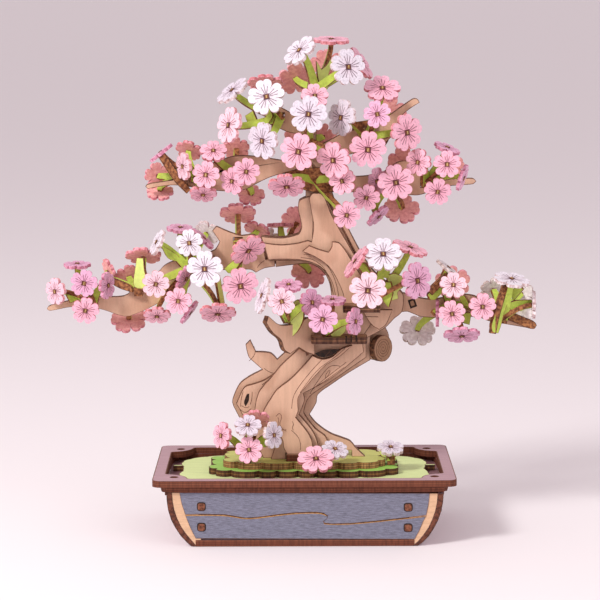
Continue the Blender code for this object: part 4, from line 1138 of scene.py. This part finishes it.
# %% Leafy boards
GREEN = (twig_green, twig_edge, twig_edge)
LIME = (twig_lime, twig_edge, twig_edge)
BAR = (twig_edge, twig_edge, edges["char"])
LEAF_THICK = 2.2
LEAVES = (
    (-3, 12, LIME, [
        (317, 62), (322, 70), (327, 66), (331, 60), (333, 64),
        (328, 78), (331, 84), (326, 92), (321, 88), (318, 78),
    ]),
    (-8, -15, GREEN, [
        (246, 116), (254, 111), (258, 120), (266, 118), (272, 111),
        (275, 116), (268, 126), (262, 135), (256, 131), (250, 128),
    ]),
    (-7, 20, GREEN, [(273, 113), (281, 115), (281, 127), (274, 129)]),
    (-8, 10, GREEN, [(162, 243), (170, 248), (181, 255), (180, 261), (169, 258)]),
    (-12, -25, GREEN, [(224, 268), (230, 262), (241, 255), (243, 260), (236, 269), (229, 273)]),
    (-12, 30, LIME, [(216, 274), (221, 274), (226, 302), (221, 303)]),
    (-8, 20, GREEN, [(68, 294), (79, 292), (80, 299), (72, 302)]),
    (-7, -20, LIME, [(138, 257), (145, 257), (146, 270), (151, 284), (141, 289), (133, 285)]),
    (-19, -15, LIME, [
        (291, 304), (296, 298), (304, 300), (304, 318),
        (298, 330), (291, 337), (290, 322),
    ]),
    (-15, 20, LIME, [(328, 322), (336, 318), (346, 323), (347, 330), (338, 337), (329, 334)]),
    (-18, -20, GREEN, [(356, 261), (366, 261), (370, 270), (359, 269)]),
    (-18, 15, GREEN, [(376, 265), (391, 267), (388, 277), (379, 275)]),
    (-15, 10, LIME, [
        (386, 274), (394, 271), (405, 276), (404, 285), (397, 290),
        (398, 297), (388, 300), (383, 292), (388, 284),
    ]),
    (-17.5, -15, GREEN, [(382, 281), (390, 280), (393, 290), (388, 306), (381, 298)]),
    (-9, 20, GREEN, [(426, 292), (446, 276), (451, 281), (435, 298), (429, 298)]),
    (-11, -20, GREEN, [(456, 292), (464, 293), (470, 305), (462, 304)]),
    (-9, 15, GREEN, [(462, 311), (471, 311), (469, 323), (462, 321)]),
    (-12, 25, GREEN, [
        (503, 282), (511, 280), (514, 290), (508, 300), (503, 312), (500, 324),
        (497, 331), (490, 330), (489, 322), (494, 310), (499, 296),
    ]),
    (-9, -20, GREEN, [(508, 290), (518, 282), (522, 287), (512, 299)]),
    (-8.5, 10, GREEN, [(506, 301), (515, 298), (531, 298), (532, 306), (510, 309)]),
    (-20, 20, GREEN, [(258, 441), (263, 437), (270, 441), (266, 448), (260, 447)]),
    (-9, 15, BAR, [(161, 156), (167, 153), (180, 172), (193, 189), (189, 193), (176, 180)]),
    (-8, -15, BAR, [(110, 276), (122, 280), (134, 285), (134, 291), (122, 288), (110, 282)]),
    (-10, 20, BAR, [(426, 288), (446, 271), (451, 275), (431, 293)]),
    (-13, 15, BAR, [
        (489, 331), (491, 318), (496, 300), (502, 284),
        (507, 283), (503, 300), (498, 317), (495, 332),
    ]),
    (-5.5, 0, BAR, [
        (500, 309), (507, 308), (520, 314), (532, 318.5), (536, 322),
        (534, 327), (528, 326.5), (515, 321), (500, 315),
    ]),
    (2, 0, BAR, [
        (352, 122), (372, 119), (386, 127), (389, 138),
        (384, 146), (364, 147), (350, 141),
    ]),
    # A board in the shade under the crown: its dark brown across the trunk's top is painted shade.
    (-5.6, 0, BAR, [
        (284, 172), (300, 167.5), (330, 166), (344, 172), (345, 181),
        (338, 190), (318, 191.5), (303, 189), (298, 180),
    ]),
    (-3, -20, LIME, [(378, 452), (388, 449), (398, 452), (396, 457), (382, 458)]),
)
for i, (depth, turn, paint, points) in enumerate(LEAVES):
    upright_board("leaf_board_" + str(i), points, depth, LEAF_THICK, turn, paint)
print("leafy boards:", len(LEAVES))

# %% [markdown]
# ## Engraved lines and dark hollows
# The laser also draws grain, curls and knots on the trunk's faces at low power. Each stroke here
# follows the line read off the front view, on the face of the board that carries it. The slit in
# the trunk, the hollow under the low shelf and the branch's slot are thin dark insets, not real
# openings. The three pieces named shadow or shadows are the photograph's hard shadows, painted as
# wide strokes, so they stay put when the light moves.

# %% Engraving
def strokes_at(depth, lines):
    return [[place(column, row, depth * MM) for column, row in line] for line in lines]


FACE_DEPTH, OUTER_DEPTH, INNER_DEPTH, CORE_DEPTH = -10.5, -7.5, -4.5, -1.5
GRAIN = 0.26 * MM
engraved("face_engraving", strokes_at(FACE_DEPTH, (
    [(276, 416), (278, 412.5), (281, 414), (281.5, 418), (279, 423), (281, 428), (286, 431)],
    [(277.5, 417), (279, 419.5), (277.5, 423), (278.5, 426)],
    [(292, 421), (294, 424), (291.5, 427), (293, 430)],
    [(281, 429), (284, 430.5), (286, 429)],
    [(291, 430), (296, 434), (299.5, 440), (300.5, 446), (300, 450)],
    [(330, 350), (318, 362), (306, 376), (297, 388), (292, 398), (291.5, 408)],
    [(345, 347), (334, 357), (320, 366), (308, 380), (300, 392)],
)), GRAIN)
engraved("outer_engraving", strokes_at(OUTER_DEPTH, (
    [(309.8, 393), (313.6, 386), (321.5, 374), (328, 366), (334, 363.5), (340, 365)],
    [(324.8, 378), (326, 371.5), (330.5, 368.5), (329, 373.5), (325.5, 377)],
    [(313, 388), (321, 380.5), (337, 368), (346, 361)],
    [(316, 385.5), (330, 376.5), (344, 366)],
    [(304, 252.7), (309, 252.5), (314, 254), (322, 258.5), (328, 264), (333, 273), (337, 284), (339, 296)],
    [(301, 256), (310, 256.5), (318, 260.5), (325, 267), (330, 278), (332, 290)],
    [(262, 417), (268, 412), (272, 402), (277, 394)],
)), GRAIN)
engraved("inner_engraving", strokes_at(INNER_DEPTH, (
    [(310, 200), (312.5, 208), (313.5, 222), (312.5, 236)],
    [(239, 408), (243, 412), (247, 412), (251, 408)],
    [(241.5, 405), (245, 408.5), (249, 406)],
    [(243, 391), (240.5, 399), (240.5, 406)],
    [(252, 391), (252.5, 398), (250, 404)],
    [(262, 384), (274, 374), (284, 366), (291, 358)],
)), GRAIN)
engraved("strip_shadows", strokes_at(INNER_DEPTH, (
    [(327, 196.5), (334, 211), (346, 233), (358, 257)],
)), 0.9 * MM)
engraved("core_engraving", strokes_at(CORE_DEPTH, (
    [(254, 345), (256, 350), (253.5, 356), (249, 360)],
    [(264, 367), (268, 371), (273, 372)],
    [(265, 259), (260, 262), (258, 266)],
    [(262.5, 236), (265, 247), (268, 258)],
)), GRAIN)
engraved("bracket_engraving", strokes_at(-10.85, ([(366, 315), (372, 315), (378, 315.2)],)), 0.30 * MM)
engraved("bracket_shadow", strokes_at(-10.9, (
    [(294, 340.5), (299, 341), (303.5, 344), (306.5, 349), (307.5, 354)],
)), 1.3 * MM)
# Painted shade: the slit, the hollow under the low shelf and the branch's slot are dark insets that paint
# the shade inside these openings, which are not cut.
INSET_THICK = 0.1
INSETS = (
    ("trunk_slit", -4.55, DARK, [(246.7, 393), (249.2, 393), (248.9, 400), (245.4, 406), (243.5, 402)]),
    ("shelf_hollow", -10.55, DARK,
     [(314.6, 352), (325, 348), (340, 347.5), (332, 354), (324, 356), (318, 355)]),
    ("branch_slot", -1.6, DARK, [(407.3, 298.3), (414, 296.3), (416.8, 304.3), (410, 306.8)]),
    ("slot_filling", -1.68, looks("brown", "char"),
     [(409.4, 299.6), (413, 298.4), (414.6, 303.3), (410.9, 304.8)]),
)
for name, depth, paint, points in INSETS:
    upright_board(name, points, depth, INSET_THICK, 0, paint)
# Painted shade: three dark strokes on the low shelf's front, for the shade inside its three slots.
engraved("shelf_slot_shade", strokes_at(-20, (
    [(346, 334.5), (346, 341.5)], [(351, 334), (351, 341)], [(356, 333.5), (356, 340.5)],
)), 0.7 * MM, edges["char"])
engraved("sleeve_shadow", strokes_at(CORE_DEPTH, ([(262.6, 236), (264.5, 247), (267, 258)],)), 1.1 * MM)
engraved("branch_joint", strokes_at(0, ([(275.4, 254.5), (275.4, 262)],)), 1.3 * MM)
# The seam's lit lower lip as a painted highlight: a thin golden line on each run of the seam.
lip = [(184.5, 516.6)] + SEAM[:9] + [(326, 516.4)]
tail = SEAM[12:] + [(426, 516.8)]
for name, run, width in (("seam_lip", lip, 0.38), ("seam_tail", tail, 0.30)):
    engraved(name, strokes_at(-38.5, ([(c, r + 1.0) for c, r in run],)), width * MM, edges["gold"])
print("engraving done")
